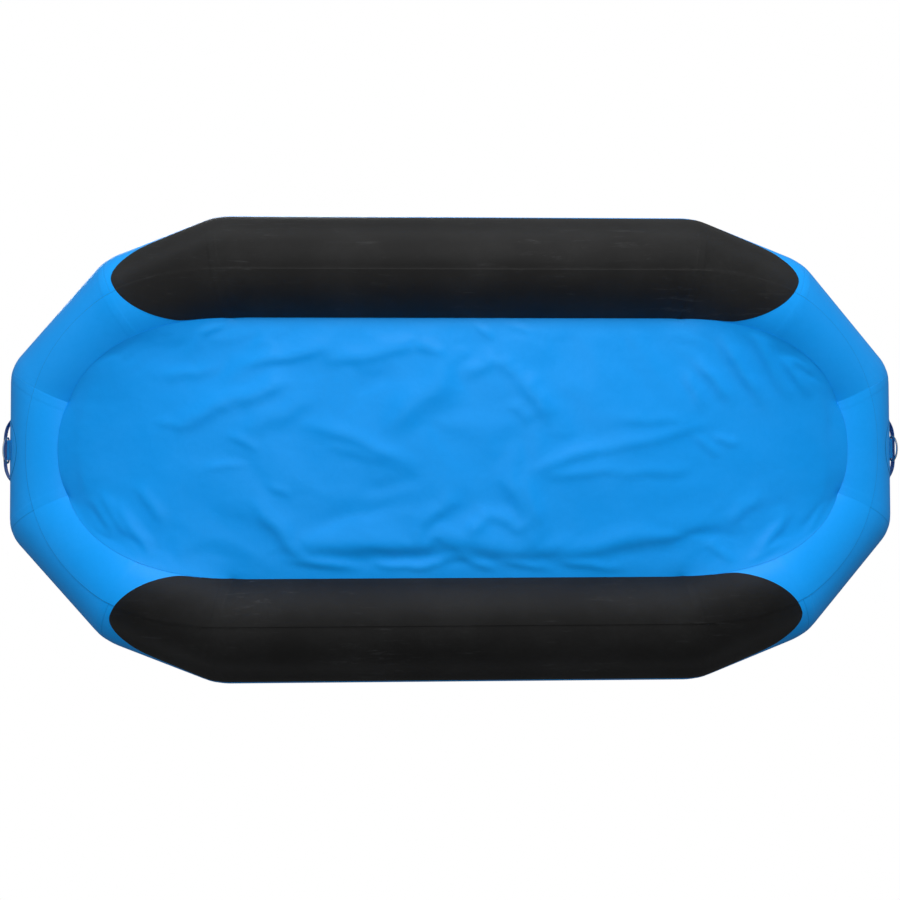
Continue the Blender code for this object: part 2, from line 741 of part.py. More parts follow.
def make_anchor(name, frame, run, patch_diameter, sleeve_width, sleeve_tab, wire):
    """A round patch with a webbing sleeve round a D-ring's bar.

    The frame's origin is on the tube's centre line.
    """
    patch = add_mesh(name, tube_run(run, run + 1, PATCH_OUTSIDE), "tube_fabric")
    disc = cylinder(patch_diameter / 2, 0.0, TUBE_RADIUS + OVERRUN, PATCH_SIDES)
    disc.transform(Matrix.Rotation(math.pi / 2, 4, "Y"))
    combine(patch, add_mesh(f"{name}_disc", disc, matrix=frame), "INTERSECT")
    tab_outside = PATCH_OUTSIDE + SLEEVE_THICKNESS
    tab = add_mesh(f"{name}_tab", tube_run(run, run + 1, tab_outside))
    size = block(
        (TUBE_RADIUS / 2, -sleeve_width / 2, -sleeve_tab / 2),
        (TUBE_RADIUS + OVERRUN, sleeve_width / 2, sleeve_tab / 2),
    )
    combine(tab, add_mesh(f"{name}_tab_edge", size, matrix=frame), "INTERSECT")
    combine(patch, tab, "UNION")
    bar = ring_bar_height(wire)
    bore = wire / 2 + RING_CLEARANCE
    place = frame @ Matrix.Translation((bar, 0.0, 0.0)) @ Matrix.Rotation(-math.pi / 2, 4, "X")
    loop_end = sleeve_width / 2 - GAP
    loop = cylinder(bore + SLEEVE_THICKNESS, -loop_end, loop_end, SLEEVE_SIDES)
    combine(patch, add_mesh(f"{name}_loop", loop, matrix=place), "UNION")
    hole = cylinder(bore / math.cos(math.pi / SLEEVE_SIDES), -sleeve_width, sleeve_width, SLEEVE_SIDES)
    combine(patch, add_mesh(f"{name}_hole", hole, matrix=place), "DIFFERENCE")
    tube = tube_run(run, run + 1, TUBE_RADIUS + GAP)
    combine(patch, add_mesh(f"{name}_tube", tube), "DIFFERENCE")
    return patch


def make_d_ring(name, matrix, width, depth, wire):
    """A D-ring with its bar along Y through the origin, hanging towards -Z."""
    half = width / 2
    radius = RING_CORNER_RADIUS
    points = []
    for step in range(RING_CORNER_STEPS + 1):
        angle = math.pi / 2 * step / RING_CORNER_STEPS
        points.append((half - radius + radius * math.sin(angle), -radius + radius * math.cos(angle)))
    for step in range(1, RING_ARC_STEPS):
        angle = math.pi * step / RING_ARC_STEPS
        points.append((half * math.cos(angle), -radius - (depth - radius) * math.sin(angle)))
    points += [(-y, z) for y, z in reversed(points[: RING_CORNER_STEPS + 1])]
    data = bpy.data.curves.new(name, "CURVE")
    data.dimensions = "3D"
    data.bevel_depth = wire / 2
    data.bevel_resolution = 2
    spline = data.splines.new("POLY")
    spline.points.add(len(points) - 1)
    for place, (y, z) in zip(spline.points, points):
        place.co = (0.0, y, z, 1.0)
    spline.use_cyclic_u = True
    data.materials.append(MATERIALS["stainless_steel"])
    ring = bpy.data.objects.new(name, data)
    ring.matrix_world = matrix
    RAFT.objects.link(ring)
    return ring


def ring_seat_angle():
    """How far a side D-ring leans in from its bar until it rests on its webbing."""
    bar = ring_bar_height(SIDE_RING_WIRE)
    tip = PATCH_OUTSIDE + SLEEVE_THICKNESS + SIDE_RING_WIRE / 2 + RING_REST_CLEARANCE
    lean = (bar**2 + SIDE_RING_DEPTH**2 - tip**2) / (2 * bar * SIDE_RING_DEPTH)
    return math.asin(lean)


def make_end_fittings(name, x_sign, run):
    outward = Vector((math.sin(END_RING_ANGLE) * x_sign, 0.0, -math.cos(END_RING_ANGLE)))
    along = Vector((0.0, x_sign, 0.0))
    origin = Vector((NOSE_X * x_sign, 0.0, NOSE_Z))
    frame = anchor_frame(origin, outward, along)
    make_anchor(
        f"{name}_end_patch", frame, run, END_PATCH_DIAMETER, END_SLEEVE_WIDTH, END_SLEEVE_TAB, END_RING_WIRE
    )
    bar = origin + outward * ring_bar_height(END_RING_WIRE)
    level = anchor_frame(bar, Vector((x_sign, 0.0, 0.0)), along)
    make_d_ring(f"{name}_d_ring", level, END_RING_WIDTH, END_RING_DEPTH, END_RING_WIRE)
    make_handle(f"{name}_carry_handle", x_sign)


def make_side_fittings(name, y_sign, run):
    outward = Vector((0.0, math.sin(SIDE_RING_ANGLE) * y_sign, -math.cos(SIDE_RING_ANGLE)))
    along = Vector((-y_sign, 0.0, 0.0))
    for label, station in (("aft", -SIDE_RING_STATION), ("fore", SIDE_RING_STATION)):
        origin = Vector((station, SIDE_Y * y_sign, SIDE_Z))
        frame = anchor_frame(origin, outward, along)
        make_anchor(
            f"{name}_patch_{label}", frame, run,
            SIDE_PATCH_DIAMETER, SIDE_SLEEVE_WIDTH, SIDE_SLEEVE_TAB, SIDE_RING_WIRE,
        )
        bar = frame @ Matrix.Translation((ring_bar_height(SIDE_RING_WIRE), 0.0, 0.0))
        leaning = bar @ Matrix.Rotation(ring_seat_angle(), 4, "Y")
        make_d_ring(f"{name}_d_ring_{label}", leaning, SIDE_RING_WIDTH, SIDE_RING_DEPTH, SIDE_RING_WIRE)


# Valves


def chamber_valve(x, y, number):
    """The crown of the tube at a place on a level length of it."""
    return Vector((x, y, corner(number).z + TUBE_RADIUS * math.cos(HALF_STEP)))


def thwart_valve(station):
    crown = THWART_RADIUS * math.cos(math.pi / THWART_SIDES)
    return Vector((station, VALVE_THWART_OFFSET, SIDE_Z + THWART_RAISE + crown))


def spider_outline():
    """A hub with arms that reach into the valve's seat."""
    points = []
    half = SPIDER_ARM / 2
    reach = (SEAT_RADIUS + OUTLET_RADIUS) / 2
    spread_angle = 2 * math.pi / SPIDER_ARMS
    root_angle = math.asin(half / HUB_RADIUS)
    for arm in range(SPIDER_ARMS):
        turn = Matrix.Rotation(spread_angle * arm, 2)
        places = [(HUB_RADIUS * math.cos(root_angle), -half), (reach, -half), (reach, half)]
        for step in range(HUB_STEPS):
            angle = root_angle + (spread_angle - 2 * root_angle) * step / HUB_STEPS
            places.append((HUB_RADIUS * math.cos(angle), HUB_RADIUS * math.sin(angle)))
        points += [tuple(turn @ Vector(point)) for point in places]
    return points


def make_valve(name, place, outside, inside):
    """Body, poppet, spring, cap and clamping nut of a valve, in a tube of given outside and inside."""
    matrix = Matrix.Translation(place)
    rim = FLANGE_HEIGHT - FLANGE_CHAMFER
    seat_low = -SEAT_DEPTH - SEAT_THICKNESS
    body = turned(
        f"{name}_body",
        (
            (FLANGE_RADIUS - FLANGE_CHAMFER, FLANGE_HEIGHT), (FLANGE_RADIUS, rim),
            (FLANGE_RADIUS, -FLANGE_SADDLE), (BARREL_RADIUS, -FLANGE_SADDLE),
            (BARREL_RADIUS, -BARREL_DEPTH), (OUTLET_RADIUS, -BARREL_DEPTH),
            (OUTLET_RADIUS, seat_low), (SEAT_RADIUS, seat_low), (SEAT_RADIUS, -SEAT_DEPTH),
            (BORE_RADIUS, -SEAT_DEPTH), (BORE_RADIUS, FLANGE_HEIGHT - BORE_CHAMFER),
            (BORE_RADIUS + BORE_CHAMFER, FLANGE_HEIGHT),
        ),
        "valve_plastic", matrix,
    )
    saddle = turned(
        f"{name}_saddle",
        (
            (FLANGE_RADIUS + OVERRUN, FLANGE_HEIGHT), (FLANGE_RADIUS + OVERRUN, -BARREL_DEPTH - OVERRUN),
            (BARREL_RADIUS, -BARREL_DEPTH - OVERRUN), (BARREL_RADIUS, FLANGE_HEIGHT),
        ),
        matrix=matrix,
    )
    combine(saddle, outside, "INTERSECT")
    combine(body, saddle, "DIFFERENCE")
    spider = prism(spider_outline(), seat_low + SPIDER_SETBACK, -SEAT_DEPTH - SPIDER_SETBACK)
    combine(body, add_mesh(f"{name}_spider", spider, matrix=matrix), "UNION")
    guide = cylinder(STEM_RADIUS + STEM_CLEARANCE, seat_low - OVERRUN / 2, -SEAT_DEPTH + OVERRUN / 2)
    combine(body, add_mesh(f"{name}_guide", guide, matrix=matrix), "DIFFERENCE")
    hinge_height = FLANGE_HEIGHT + GAP + HINGE_RADIUS
    hinge = Matrix.Translation(place + Vector((-HINGE_OFFSET, 0.0, hinge_height)))
    across = hinge @ Matrix.Rotation(math.pi / 2, 4, "X")
    ear_inside = HINGE_WIDTH / 2 + GAP
    ear_outside = ear_inside + HINGE_EAR
    for label, y_low, y_high in (("left", -ear_outside, -ear_inside), ("right", ear_inside, ear_outside)):
        ear = block(
            (-HINGE_OFFSET - HINGE_RADIUS, y_low, rim - FLANGE_CHAMFER),
            (-HINGE_OFFSET + HINGE_RADIUS, y_high, hinge_height + HINGE_RADIUS),
        )
        combine(body, add_mesh(f"{name}_ear_{label}", ear, matrix=matrix), "UNION")
    middle_of_ear = (ear_inside + ear_outside) / 2
    pin = cylinder(HINGE_PIN_RADIUS, -middle_of_ear, middle_of_ear)
    combine(body, add_mesh(f"{name}_pin", pin, matrix=across), "UNION")

    disc_top = seat_low - GAP
    button_low = -BUTTON_DEPTH - BUTTON_THICKNESS
    turned(
        f"{name}_poppet",
        (
            (0.0, -BUTTON_DEPTH), (BUTTON_RADIUS, -BUTTON_DEPTH), (BUTTON_RADIUS, button_low),
            (STEM_RADIUS, button_low), (STEM_RADIUS, disc_top), (DISC_RADIUS, disc_top),
            (DISC_RADIUS, disc_top - DISC_THICKNESS), (0.0, disc_top - DISC_THICKNESS),
        ),
        "button_plastic", matrix,
    )
    make_spring(f"{name}_spring", place, -SEAT_DEPTH - SPIDER_SETBACK + GAP, button_low - GAP)

    cap_low = FLANGE_HEIGHT + GAP
    cap_high = cap_low + CAP_THICKNESS
    roof = cap_high - CAP_ROOF
    cap = turned(
        f"{name}_cap",
        (
            (0.0, cap_high), (CAP_RADIUS - CAP_CHAMFER, cap_high), (CAP_RADIUS, cap_high - CAP_CHAMFER),
            (CAP_RADIUS, cap_low), (PLUG_RADIUS, cap_low), (PLUG_RADIUS, cap_low - PLUG_DEPTH),
            (PLUG_RADIUS - PLUG_WALL, cap_low - PLUG_DEPTH), (PLUG_RADIUS - PLUG_WALL, roof), (0.0, roof),
        ),
        "valve_plastic", matrix,
    )
    barrel = cylinder(HINGE_RADIUS, -HINGE_WIDTH / 2, HINGE_WIDTH / 2)
    knuckle = add_mesh(f"{name}_knuckle", barrel, matrix=across)
    lug = block(
        (-HINGE_OFFSET, -HINGE_WIDTH / 2, cap_low + GAP),
        (-LUG_ROOT, HINGE_WIDTH / 2, cap_high - GAP),
    )
    combine(knuckle, add_mesh(f"{name}_lug", lug, matrix=matrix), "UNION")
    bore = cylinder(HINGE_PIN_RADIUS + HINGE_PIN_CLEARANCE, -HINGE_WIDTH, HINGE_WIDTH)
    combine(knuckle, add_mesh(f"{name}_knuckle_bore", bore, matrix=across), "DIFFERENCE")
    combine(cap, knuckle, "UNION")

    nut = turned(
        f"{name}_nut",
        (
            (FLANGE_RADIUS, FLANGE_HEIGHT), (FLANGE_RADIUS, -NUT_HEIGHT),
            (BARREL_RADIUS + GAP, -NUT_HEIGHT), (BARREL_RADIUS + GAP, FLANGE_HEIGHT),
        ),
        "valve_plastic", matrix,
    )
    combine(nut, inside, "INTERSECT")


def make_spring(name, place, low, high):
    """A small return spring round the poppet's stem, one unbroken wire."""
    count = SPRING_TURNS * SPRING_POINTS + 1
    start = low + SPRING_WIRE_RADIUS
    climb = (high - low - 2 * SPRING_WIRE_RADIUS) / (count - 1)
    data = bpy.data.curves.new(name, "CURVE")
    data.dimensions = "3D"
    data.bevel_depth = SPRING_WIRE_RADIUS
    data.bevel_resolution = 1
    data.use_fill_caps = True
    spline = data.splines.new("POLY")
    spline.points.add(count - 1)
    for step, point in enumerate(spline.points):
        angle = 2 * math.pi * step / SPRING_POINTS
        point.co = (
            SPRING_RADIUS * math.cos(angle),
            SPRING_RADIUS * math.sin(angle),
            start + climb * step,
            1.0,
        )
    data.materials.append(MATERIALS["stainless_steel"])
    spring = bpy.data.objects.new(name, data)
    spring.matrix_world = Matrix.Translation(place)
    RAFT.objects.link(spring)


def make_valves():
    for name, place, run in CHAMBER_VALVES:
        outside = add_mesh(f"{name}_outside", tube_run(run, run + 1, TUBE_RADIUS + GAP))
        inside = add_mesh(f"{name}_inside", tube_run(run, run + 1, TUBE_RADIUS - TUBE_WALL - GAP))
        make_valve(f"valve_{name}", place, outside, inside)
    for name, station in THWARTS:
        place = Matrix.Translation((station, 0.0, 0.0))
        outside = add_mesh(f"{name}_skin", thwart_solid(THWART_RADIUS + GAP, 0.0), matrix=place)
        inner = thwart_solid(THWART_RADIUS - TUBE_WALL - GAP, TUBE_WALL + GAP)
        inside = add_mesh(f"{name}_lining", inner, matrix=place)
        make_valve(f"valve_{name}", thwart_valve(station), outside, inside)


THWARTS = (("thwart_fore", THWART_STATION), ("thwart_aft", -THWART_STATION))
CHAMBER_VALVES = (
    ("bow", chamber_valve(NOSE_X, VALVE_NOSE_OFFSET, BOW_PORT_NOSE), BOW_STARBOARD_NOSE),
    ("stern", chamber_valve(-NOSE_X, -VALVE_NOSE_OFFSET, STERN_PORT_NOSE), STERN_PORT_NOSE),
    ("port", chamber_valve(-VALVE_SIDE_STATION, SIDE_Y, PORT_BOW_MITRE), PORT_BOW_MITRE),
    ("starboard", chamber_valve(VALVE_SIDE_STATION, -SIDE_Y, STARBOARD_BOW_MITRE), STARBOARD_STERN_MITRE),
)
CHAMBER_RUNS = {
    "bow": (BOW_STARBOARD_BEND, BOW_PORT_BEND),
    "stern": (STERN_PORT_BEND, STERN_STARBOARD_BEND),
    "port": (BOW_PORT_BEND, STERN_PORT_BEND),
    "starboard": (STERN_STARBOARD_BEND, BOW_STARBOARD_BEND + len(CORNERS)),
}


def main():
    for name, place, _ in CHAMBER_VALVES:
        first, last = CHAMBER_RUNS[name]
        make_chamber(f"tube_chamber_{name}", first, last, place)
    make_baffle("baffle_starboard_bow", BOW_STARBOARD_BEND, 1)
    make_baffle("baffle_port_bow", BOW_PORT_BEND, -1)
    make_baffle("baffle_port_stern", STERN_PORT_BEND, 1)
    make_baffle("baffle_starboard_stern", STERN_STARBOARD_BEND, -1)
    make_floor()
    make_strip()
    make_wear_patch("wear_patch_port", 1, BOW_PORT_NOSE, STERN_PORT_NOSE)
    turn = len(CORNERS)
    make_wear_patch("wear_patch_starboard", -1, STERN_STARBOARD_NOSE, BOW_STARBOARD_NOSE + turn)
    for name, station in THWARTS:
        make_thwart(name, station)
    make_end_fittings("bow", 1, BOW_STARBOARD_NOSE)
    make_end_fittings("stern", -1, STERN_PORT_NOSE)
    make_side_fittings("port", 1, PORT_BOW_MITRE)
    make_side_fittings("starboard", -1, STARBOARD_STERN_MITRE)
    make_valves()


main()
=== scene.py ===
import math
from contextlib import contextmanager

import bpy
import numpy as np
from bpy.props import FloatProperty, FloatVectorProperty, PointerProperty
from mathutils import Matrix, Vector, noise
from mathutils.kdtree import KDTree


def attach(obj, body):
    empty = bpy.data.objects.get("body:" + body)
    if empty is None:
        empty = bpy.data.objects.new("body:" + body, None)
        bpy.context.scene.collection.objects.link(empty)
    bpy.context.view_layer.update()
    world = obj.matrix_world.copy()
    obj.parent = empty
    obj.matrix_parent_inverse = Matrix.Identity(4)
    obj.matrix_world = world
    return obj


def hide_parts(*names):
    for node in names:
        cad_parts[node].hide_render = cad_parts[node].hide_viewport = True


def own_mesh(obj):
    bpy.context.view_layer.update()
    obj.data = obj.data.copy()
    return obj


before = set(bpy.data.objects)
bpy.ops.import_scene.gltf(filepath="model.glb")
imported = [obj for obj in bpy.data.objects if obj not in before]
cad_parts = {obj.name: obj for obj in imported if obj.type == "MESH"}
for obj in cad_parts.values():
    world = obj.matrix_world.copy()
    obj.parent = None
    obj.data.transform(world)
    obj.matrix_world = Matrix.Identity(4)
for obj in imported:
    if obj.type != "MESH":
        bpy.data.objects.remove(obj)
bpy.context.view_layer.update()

bl_info = {
    "name": "Whitewater raft",
    "version": (1, 0, 0),
    "blender": (4, 5, 0),
    "location": "3D View > Sidebar > Raft",
    "description": "Dresses the raft's frame with fabric tubes, floor, patches, webbing and valves",
    "category": "Object",
}

UP = Vector((0.0, 0.0, 1.0))

# The frame's tubes are polygons: how near to the centre line their flats come
TUBE_FLAT, THWART_FLAT = math.cos(math.pi / 32), math.cos(math.pi / 20)

# The tube's centre line, as in the frame: side mitre, bend and nose of one quarter
RADIUS = 0.241
REST_RADIUS = 0.244
SIDE_X, SIDE_Y, SIDE_Z = 0.968, 0.749, REST_RADIUS * TUBE_FLAT
BEND_X, BEND_Y, BEND_RISE = 1.347, 0.606, 0.030
NOSE_X, NOSE_Y, NOSE_Z = 1.711, 0.277, SIDE_Z + 0.221
QUARTER = (
    Vector((SIDE_X, SIDE_Y, SIDE_Z)),
    Vector((BEND_X, BEND_Y, SIDE_Z + BEND_RISE)),
    Vector((NOSE_X, NOSE_Y, NOSE_Z)),
)
CORNERS = (
    [Vector((c.x, -c.y, c.z)) for c in QUARTER]
    + [Vector((c.x, c.y, c.z)) for c in reversed(QUARTER)]
    + [Vector((-c.x, c.y, c.z)) for c in QUARTER]
    + [Vector((-c.x, -c.y, c.z)) for c in reversed(QUARTER)]
)
CHAMBERS = {"bow": 1, "port": 4, "stern": 7, "starboard": 10}
THWART_RISE = 0.055
THWART_Z = SIDE_Z + THWART_RISE
THWART_RADIUS = 0.155 * THWART_FLAT
THWARTS = {"thwart_fore": 0.420, "thwart_aft": -0.420}

# Thicknesses of the fabrics, the glue's gap between two layers, and the bevel of round patches and collars
FABRIC, FLOOR_FABRIC, PATCH_FABRIC, COLLAR_FABRIC = 0.0011, 0.0012, 0.0012, 0.0013
GAP, PATCH_BEVEL = 0.0003, 0.003


# Sizes and colours


def length(label, text, value, low, high):
    return FloatProperty(name=label, description=text, default=value, min=low, max=high, unit="LENGTH")


def colour(label, text, value):
    return FloatVectorProperty(
        name=label, description=text, default=value, min=0.0, max=1.0, subtype="COLOR", size=3)


class RaftSizes(bpy.types.PropertyGroup):
    """Sizes of the fabric layers and of the soft detail on them"""

    lap_width: length("Seam lap width", "How far one tube panel laps over the next at a mitre seam", 0.040, 0.01, 0.06)
    lap_lift: length("Seam lap thickness", "How far a lapped panel stands off the tube", 0.0007, 0.0, 0.003)
    lap_fade: length(
        "Seam lap taper", "Width over which a lapped panel's far edge comes down to the tube", 0.006, 0.001, 0.02)
    corner_round: length(
        "Corner rounding", "Distance from a mitre over which the pressure rounds its corner", 0.062, 0.01, 0.09)
    strip_thickness: length("Strip thickness", "Thickness of the strip that holds the floor", 0.0019, 0.0005, 0.003)
    wear_thickness: length("Wear patch thickness", "Thickness of the black patches", 0.0015, 0.0005, 0.003)
    edge_ramp: length("Edge bevel", "Width over which a glued edge rises to its thickness", 0.002, 0.001, 0.01)
    floor_slack: FloatProperty(
        name="Floor slack", description="How much larger the floor sheet is cut than its frame",
        default=0.004, min=0.0, max=0.05, subtype="FACTOR")
    floor_fold: length("Floor fold height", "The most that a fold stands off the floor sheet", 0.005, 0.0, 0.05)
    webbing_rib: length("Webbing rib", "Distance between the ribs across the webbing", 0.0026, 0.001, 0.01)


class RaftColours(bpy.types.PropertyGroup):
    """Colours of the raft's fabrics and fittings"""

    hull: colour("Hull", "Coated fabric of tubes, strip and patches", (0.003, 0.335, 0.930))
    # Same fabric as the hull, given a darker blue: painted shade that tones down the floor sheet's stronger light
    floor: colour("Floor", "Coated fabric of the floor sheet", (0.003, 0.295, 0.825))
    wear: colour("Wear patches", "Black abrasion fabric", (0.010, 0.010, 0.010))
    webbing: colour("Webbing", "Carry handles", (0.002, 0.120, 0.400))
    sleeve: colour("Sleeves", "Webbing that holds the D-rings", (0.004, 0.330, 0.950))
    baffle: colour("Baffles", "Grey lining fabric inside the tubes", (0.250, 0.270, 0.300))
    steel: colour("Steel", "D-rings and valve springs", (0.560, 0.570, 0.580))
    valve: colour("Valves", "Moulded valve bodies, caps and nuts", (0.014, 0.015, 0.017))
    button: colour("Valve button", "The poppet's push button", (0.520, 0.530, 0.520))
    thread: colour("Thread", "Stitching on the webbing", (0.020, 0.090, 0.220))


# Modelling tools

# Width of the dark line at a glued edge, partly glue and partly painted shade in the gap at the edge, and of the step
# where one layer runs over another
GLUE_AND_SHADE_LINE, STEP_WIDTH = 0.0016, 0.004


def deselect():
    if bpy.context.object and bpy.context.object.mode != "OBJECT":
        bpy.ops.object.mode_set(mode="OBJECT")
    bpy.ops.object.select_all(action="DESELECT")


def select(*objs):
    deselect()
    for obj in objs:
        obj.select_set(True)
    bpy.context.view_layer.objects.active = objs[0]
    return objs[0]


def settle(obj):
    """Puts the object's place into its mesh."""
    select(obj)
    bpy.ops.object.transform_apply(location=True, rotation=True, scale=True)
    return obj


@contextmanager
def editing(obj, action="SELECT"):
    """Edit mode on one object, with all or nothing of its mesh selected."""
    select(obj)
    bpy.ops.object.mode_set(mode="EDIT")
    bpy.ops.mesh.select_all(action=action)
    yield
    bpy.ops.object.mode_set(mode="OBJECT")


def merge(obj, distance=0.00001, outward=True):
    """Closes seams and poles, and turns the faces outwards."""
    with editing(obj):
        bpy.ops.mesh.remove_doubles(threshold=distance)
        if outward:
            bpy.ops.mesh.normals_make_consistent(inside=False)
    return obj


def smooth(obj, angle=40):
    select(obj)
    bpy.ops.object.shade_smooth_by_angle(angle=math.radians(angle))
    return obj


def apply(obj, kind, **settings):
    """Adds a modifier, sets it up and applies it."""
    select(obj)
    modifier = obj.modifiers.new(kind.title(), kind)
    for key, value in settings.items():
        setattr(modifier, key, value)
    bpy.ops.object.modifier_apply(modifier=modifier.name)
    return obj


def join(name, objs):
    select(*objs)
    if len(objs) > 1:
        bpy.ops.object.join()
    obj = bpy.context.object
    obj.name = obj.data.name = name
    return obj


def block(place, size, rounding, segments):
    """A box with rounded edges."""
    deselect()
    bpy.ops.mesh.primitive_cube_add(size=1.0, location=place)
    bpy.context.object.scale = size
    return apply(settle(bpy.context.object), "BEVEL", width=rounding, segments=segments)


def rod(place, radius, length, sides, rounding):
    """A round bar across, with its edges broken."""
    deselect()
    bpy.ops.mesh.primitive_cylinder_add(
        vertices=sides, radius=radius, depth=length, location=place, rotation=(math.pi / 2, 0, 0))
    return apply(settle(bpy.context.object), "BEVEL", width=rounding, segments=2)


def remove(*objs):
    select(*objs)
    bpy.ops.object.delete()


def copied(name, obj, matrix=None):
    """A copy with its own mesh, moved by a matrix."""
    select(obj)
    bpy.ops.object.duplicate(linked=False)
    twin = bpy.context.object
    twin.name = twin.data.name = name
    if matrix is not None:
        twin.data.transform(matrix)
        if matrix.determinant() < 0:
            twin.data.flip_normals()
    return twin


def laid_grid(name, columns, rows, place):
    """A grid whose points are moved one by one to where the piece has them."""
    deselect()
    bpy.ops.mesh.primitive_grid_add(x_subdivisions=columns, y_subdivisions=rows, size=2.0)
    obj = bpy.context.object
    obj.name = obj.data.name = name
    for vert in obj.data.vertices:
        column = round((vert.co.x + 1) / 2 * columns)
        row = round((vert.co.y + 1) / 2 * rows)
        vert.co = place(column, row)
    return obj


def layer(name, columns, rows, place, thickness, ramp):
    """A glued layer that lies on a surface and thins out at its edges, with a dark edge line that is partly glue and
    partly painted shade.
    place gives a point, its outward normal, its distance from the edge and how far the dark edge line shows there."""
    found = {}

    def top(column, row):
        point, normal, edge, *line = place(column, row)
        found[(column, row)] = point, ease(2 - edge / GLUE_AND_SHADE_LINE) * min([1.0, *line])
        return point + normal * (thickness * ease(edge / ramp))

    obj = laid_grid(name, columns, rows, top)
    count = len(obj.data.vertices)
    with editing(obj):
        bpy.ops.mesh.duplicate()
        bpy.ops.mesh.flip_normals()
    # Edge attribute: darkens the glued edge, partly glue and partly painted shade in the gap at the edge
    line = obj.data.attributes.new("edge", "FLOAT", "POINT").data
    for index in range(count):
        row, column = divmod(index, columns + 1)
        obj.data.vertices[count + index].co, value = found[(column, row)]
        line[index].value = line[count + index].value = value
    return smooth(merge(obj), 30)


def finish(obj, material, body="root", nodes=()):
    obj.data.materials.clear()
    obj.data.materials.append(material)
    for polygon in obj.data.polygons:
        polygon.material_index = 0
    if nodes:
        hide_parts(*nodes)
    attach(obj, body)
    return obj


def ease(value):
    value = min(1.0, max(0.0, value))
    return value * value * (3 - 2 * value)


# The raft's surfaces


def corner(number):
    return CORNERS[number % 12]


def run_axis(number):
    return (corner(number + 1) - corner(number)).normalized()


def mitre(number):
    return (run_axis(number - 1) + run_axis(number)).normalized()


AXES = [run_axis(n) for n in range(12)]
MITRES = [mitre(n) for n in range(12)]
# How near to a mitre its plane turns the way out of the tube, and how much less an inner corner is rounded
MITRE_REACH, INNER_ROUNDING = 0.030, 0.3


def foot(run, point):
    """The point on a run's centre line next to a point, and the direction out from it."""
    start, axis = corner(run), AXES[run % 12]
    base = start + axis * (point - start).dot(axis)
    return base, (point - base).normalized()


def seam_distance(run, point):
    near = abs((point - corner(run)).dot(MITRES[run % 12]))
    return min(near, abs((point - corner(run + 1)).dot(MITRES[(run + 1) % 12])))


def lapped(run, seam):
    """Whether the overlap of a mitre seam lies on this run: it lies on the side towards the raft's end."""
    return (run == seam) == (seam % 6 < 3)


def on_tube(run, point):
    """Where the tube's skin really is next to a point of the plain mitred tube, and the way out of it.
    Pressure rounds the mitres' outer corners, and the laps stand off by their thickness."""
    sizes = bpy.context.scene.raft_sizes
    _, out = foot(run, point)
    ends = [(abs((point - corner(n)).dot(MITRES[n % 12])), n) for n in (run, run + 1)]
    near, seam = min(ends)
    normal = MITRES[seam % 12]
    flat = out - normal * out.dot(normal)
    way = out.lerp(flat / flat.length_squared, ease(1 - near / MITRE_REACH))
    before, after = AXES[(seam - 1) % 12], AXES[seam % 12]
    outer = before - after
    turn = outer.length / (before + after).length
    facing = flat.normalized().dot(outer.normalized())
    if facing < 0:
        facing *= INNER_ROUNDING
    room = max(0.0, sizes.corner_round - near)
    rise = -turn * facing * room * room / (2 * sizes.corner_round)
    if lapped(run, seam):
        rise += sizes.lap_lift * ease(near / sizes.edge_ramp) * ease((sizes.lap_width - near) / sizes.lap_fade)
    return point + way * rise, way


def under(x, y, radius):
    """The run and height at which an upright line meets the underside of the tube."""
    best = None
    for run in range(12):
        start, axis = CORNERS[run], AXES[run]
        side = Vector((x, y, 0.0)) - start
        flat = side - axis * side.dot(axis)
        rise = UP - axis * axis.z
        a, b, c = rise.length_squared, 2 * flat.dot(rise), flat.length_squared - radius * radius
        room = b * b - 4 * a * c
        if room < 0:
            continue
        point = Vector((x, y, (-b - math.sqrt(room)) / (2 * a)))
        if (point - start).dot(MITRES[run]) < -GAP or (point - corner(run + 1)).dot(MITRES[(run + 1) % 12]) > GAP:
            continue
        if best is None or point.z < best[1].z:
            best = (run, point)
    return best


def side_point(x, angle, radius):
    """Run and point on the port side at a station, at an angle from straight down outwards."""
    away = Vector((0.0, math.sin(angle), -math.cos(angle)))
    best = None
    for run in (5, 4, 3):
        start, axis = CORNERS[run], AXES[run]
        base = start + axis * ((abs(x) - start.x) / axis.x)
        point = base + away * (radius / (away - axis * away.dot(axis)).length)
        miss = max(-(point - start).dot(MITRES[run]), (point - corner(run + 1)).dot(MITRES[run + 1]), 0.0)
        if run == 5:
            miss = max((point - start).dot(-MITRES[run]), 0.0)
        if best is None or miss < best[0]:
            best = (miss, run, point)
    return best[1], best[2]


def oval(half_length, half_width, straight, count=60):
    """One quarter of a smooth plan outline, from the middle of a side to the end."""
    arc = []
    for step in range(count * 8 + 1):
        angle = math.pi / 2 * step / (count * 8)
        x = straight + (half_length - straight) * math.sin(angle) ** (2 / OVAL_POWER)
        arc.append(Vector((x, half_width * max(0.0, math.cos(angle)) ** (2 / OVAL_POWER))))
    return [Vector((straight * step / count, half_width)) for step in range(count)] + resample(arc, count)


def resample(points, count):
    """Points at even steps along a line."""
    spans = [(b - a).length for a, b in zip(points, points[1:])]
    total, found, travelled, index = sum(spans), [], 0.0, 0
    for step in range(count + 1):
        target = total * step / count
        while index < len(spans) - 1 and travelled + spans[index] < target:
            travelled += spans[index]
            index += 1
        share = (target - travelled) / spans[index] if spans[index] else 0.0
        found.append(points[index].lerp(points[index + 1], min(1.0, share)))
    return found


def closed_oval(quarter):
    """The whole outline, counterclockwise from the bow's end."""
    port_bow = [Vector((p.x, p.y)) for p in reversed(quarter)]
    port_stern = [Vector((-p.x, p.y)) for p in quarter[1:]]
    upper = port_bow + port_stern
    return upper + [Vector((p.x, -p.y)) for p in reversed(upper[1:-1])]


def edges_at(radius, end_angle, side_angle, straight_share):
    """An oval whose ends and sides lie on the tube at angles from straight down."""
    return dict(
        half_length=NOSE_X + radius * math.sin(math.radians(end_angle)),
        half_width=SIDE_Y - radius * math.sin(math.radians(side_angle)), straight=SIDE_X * straight_share)


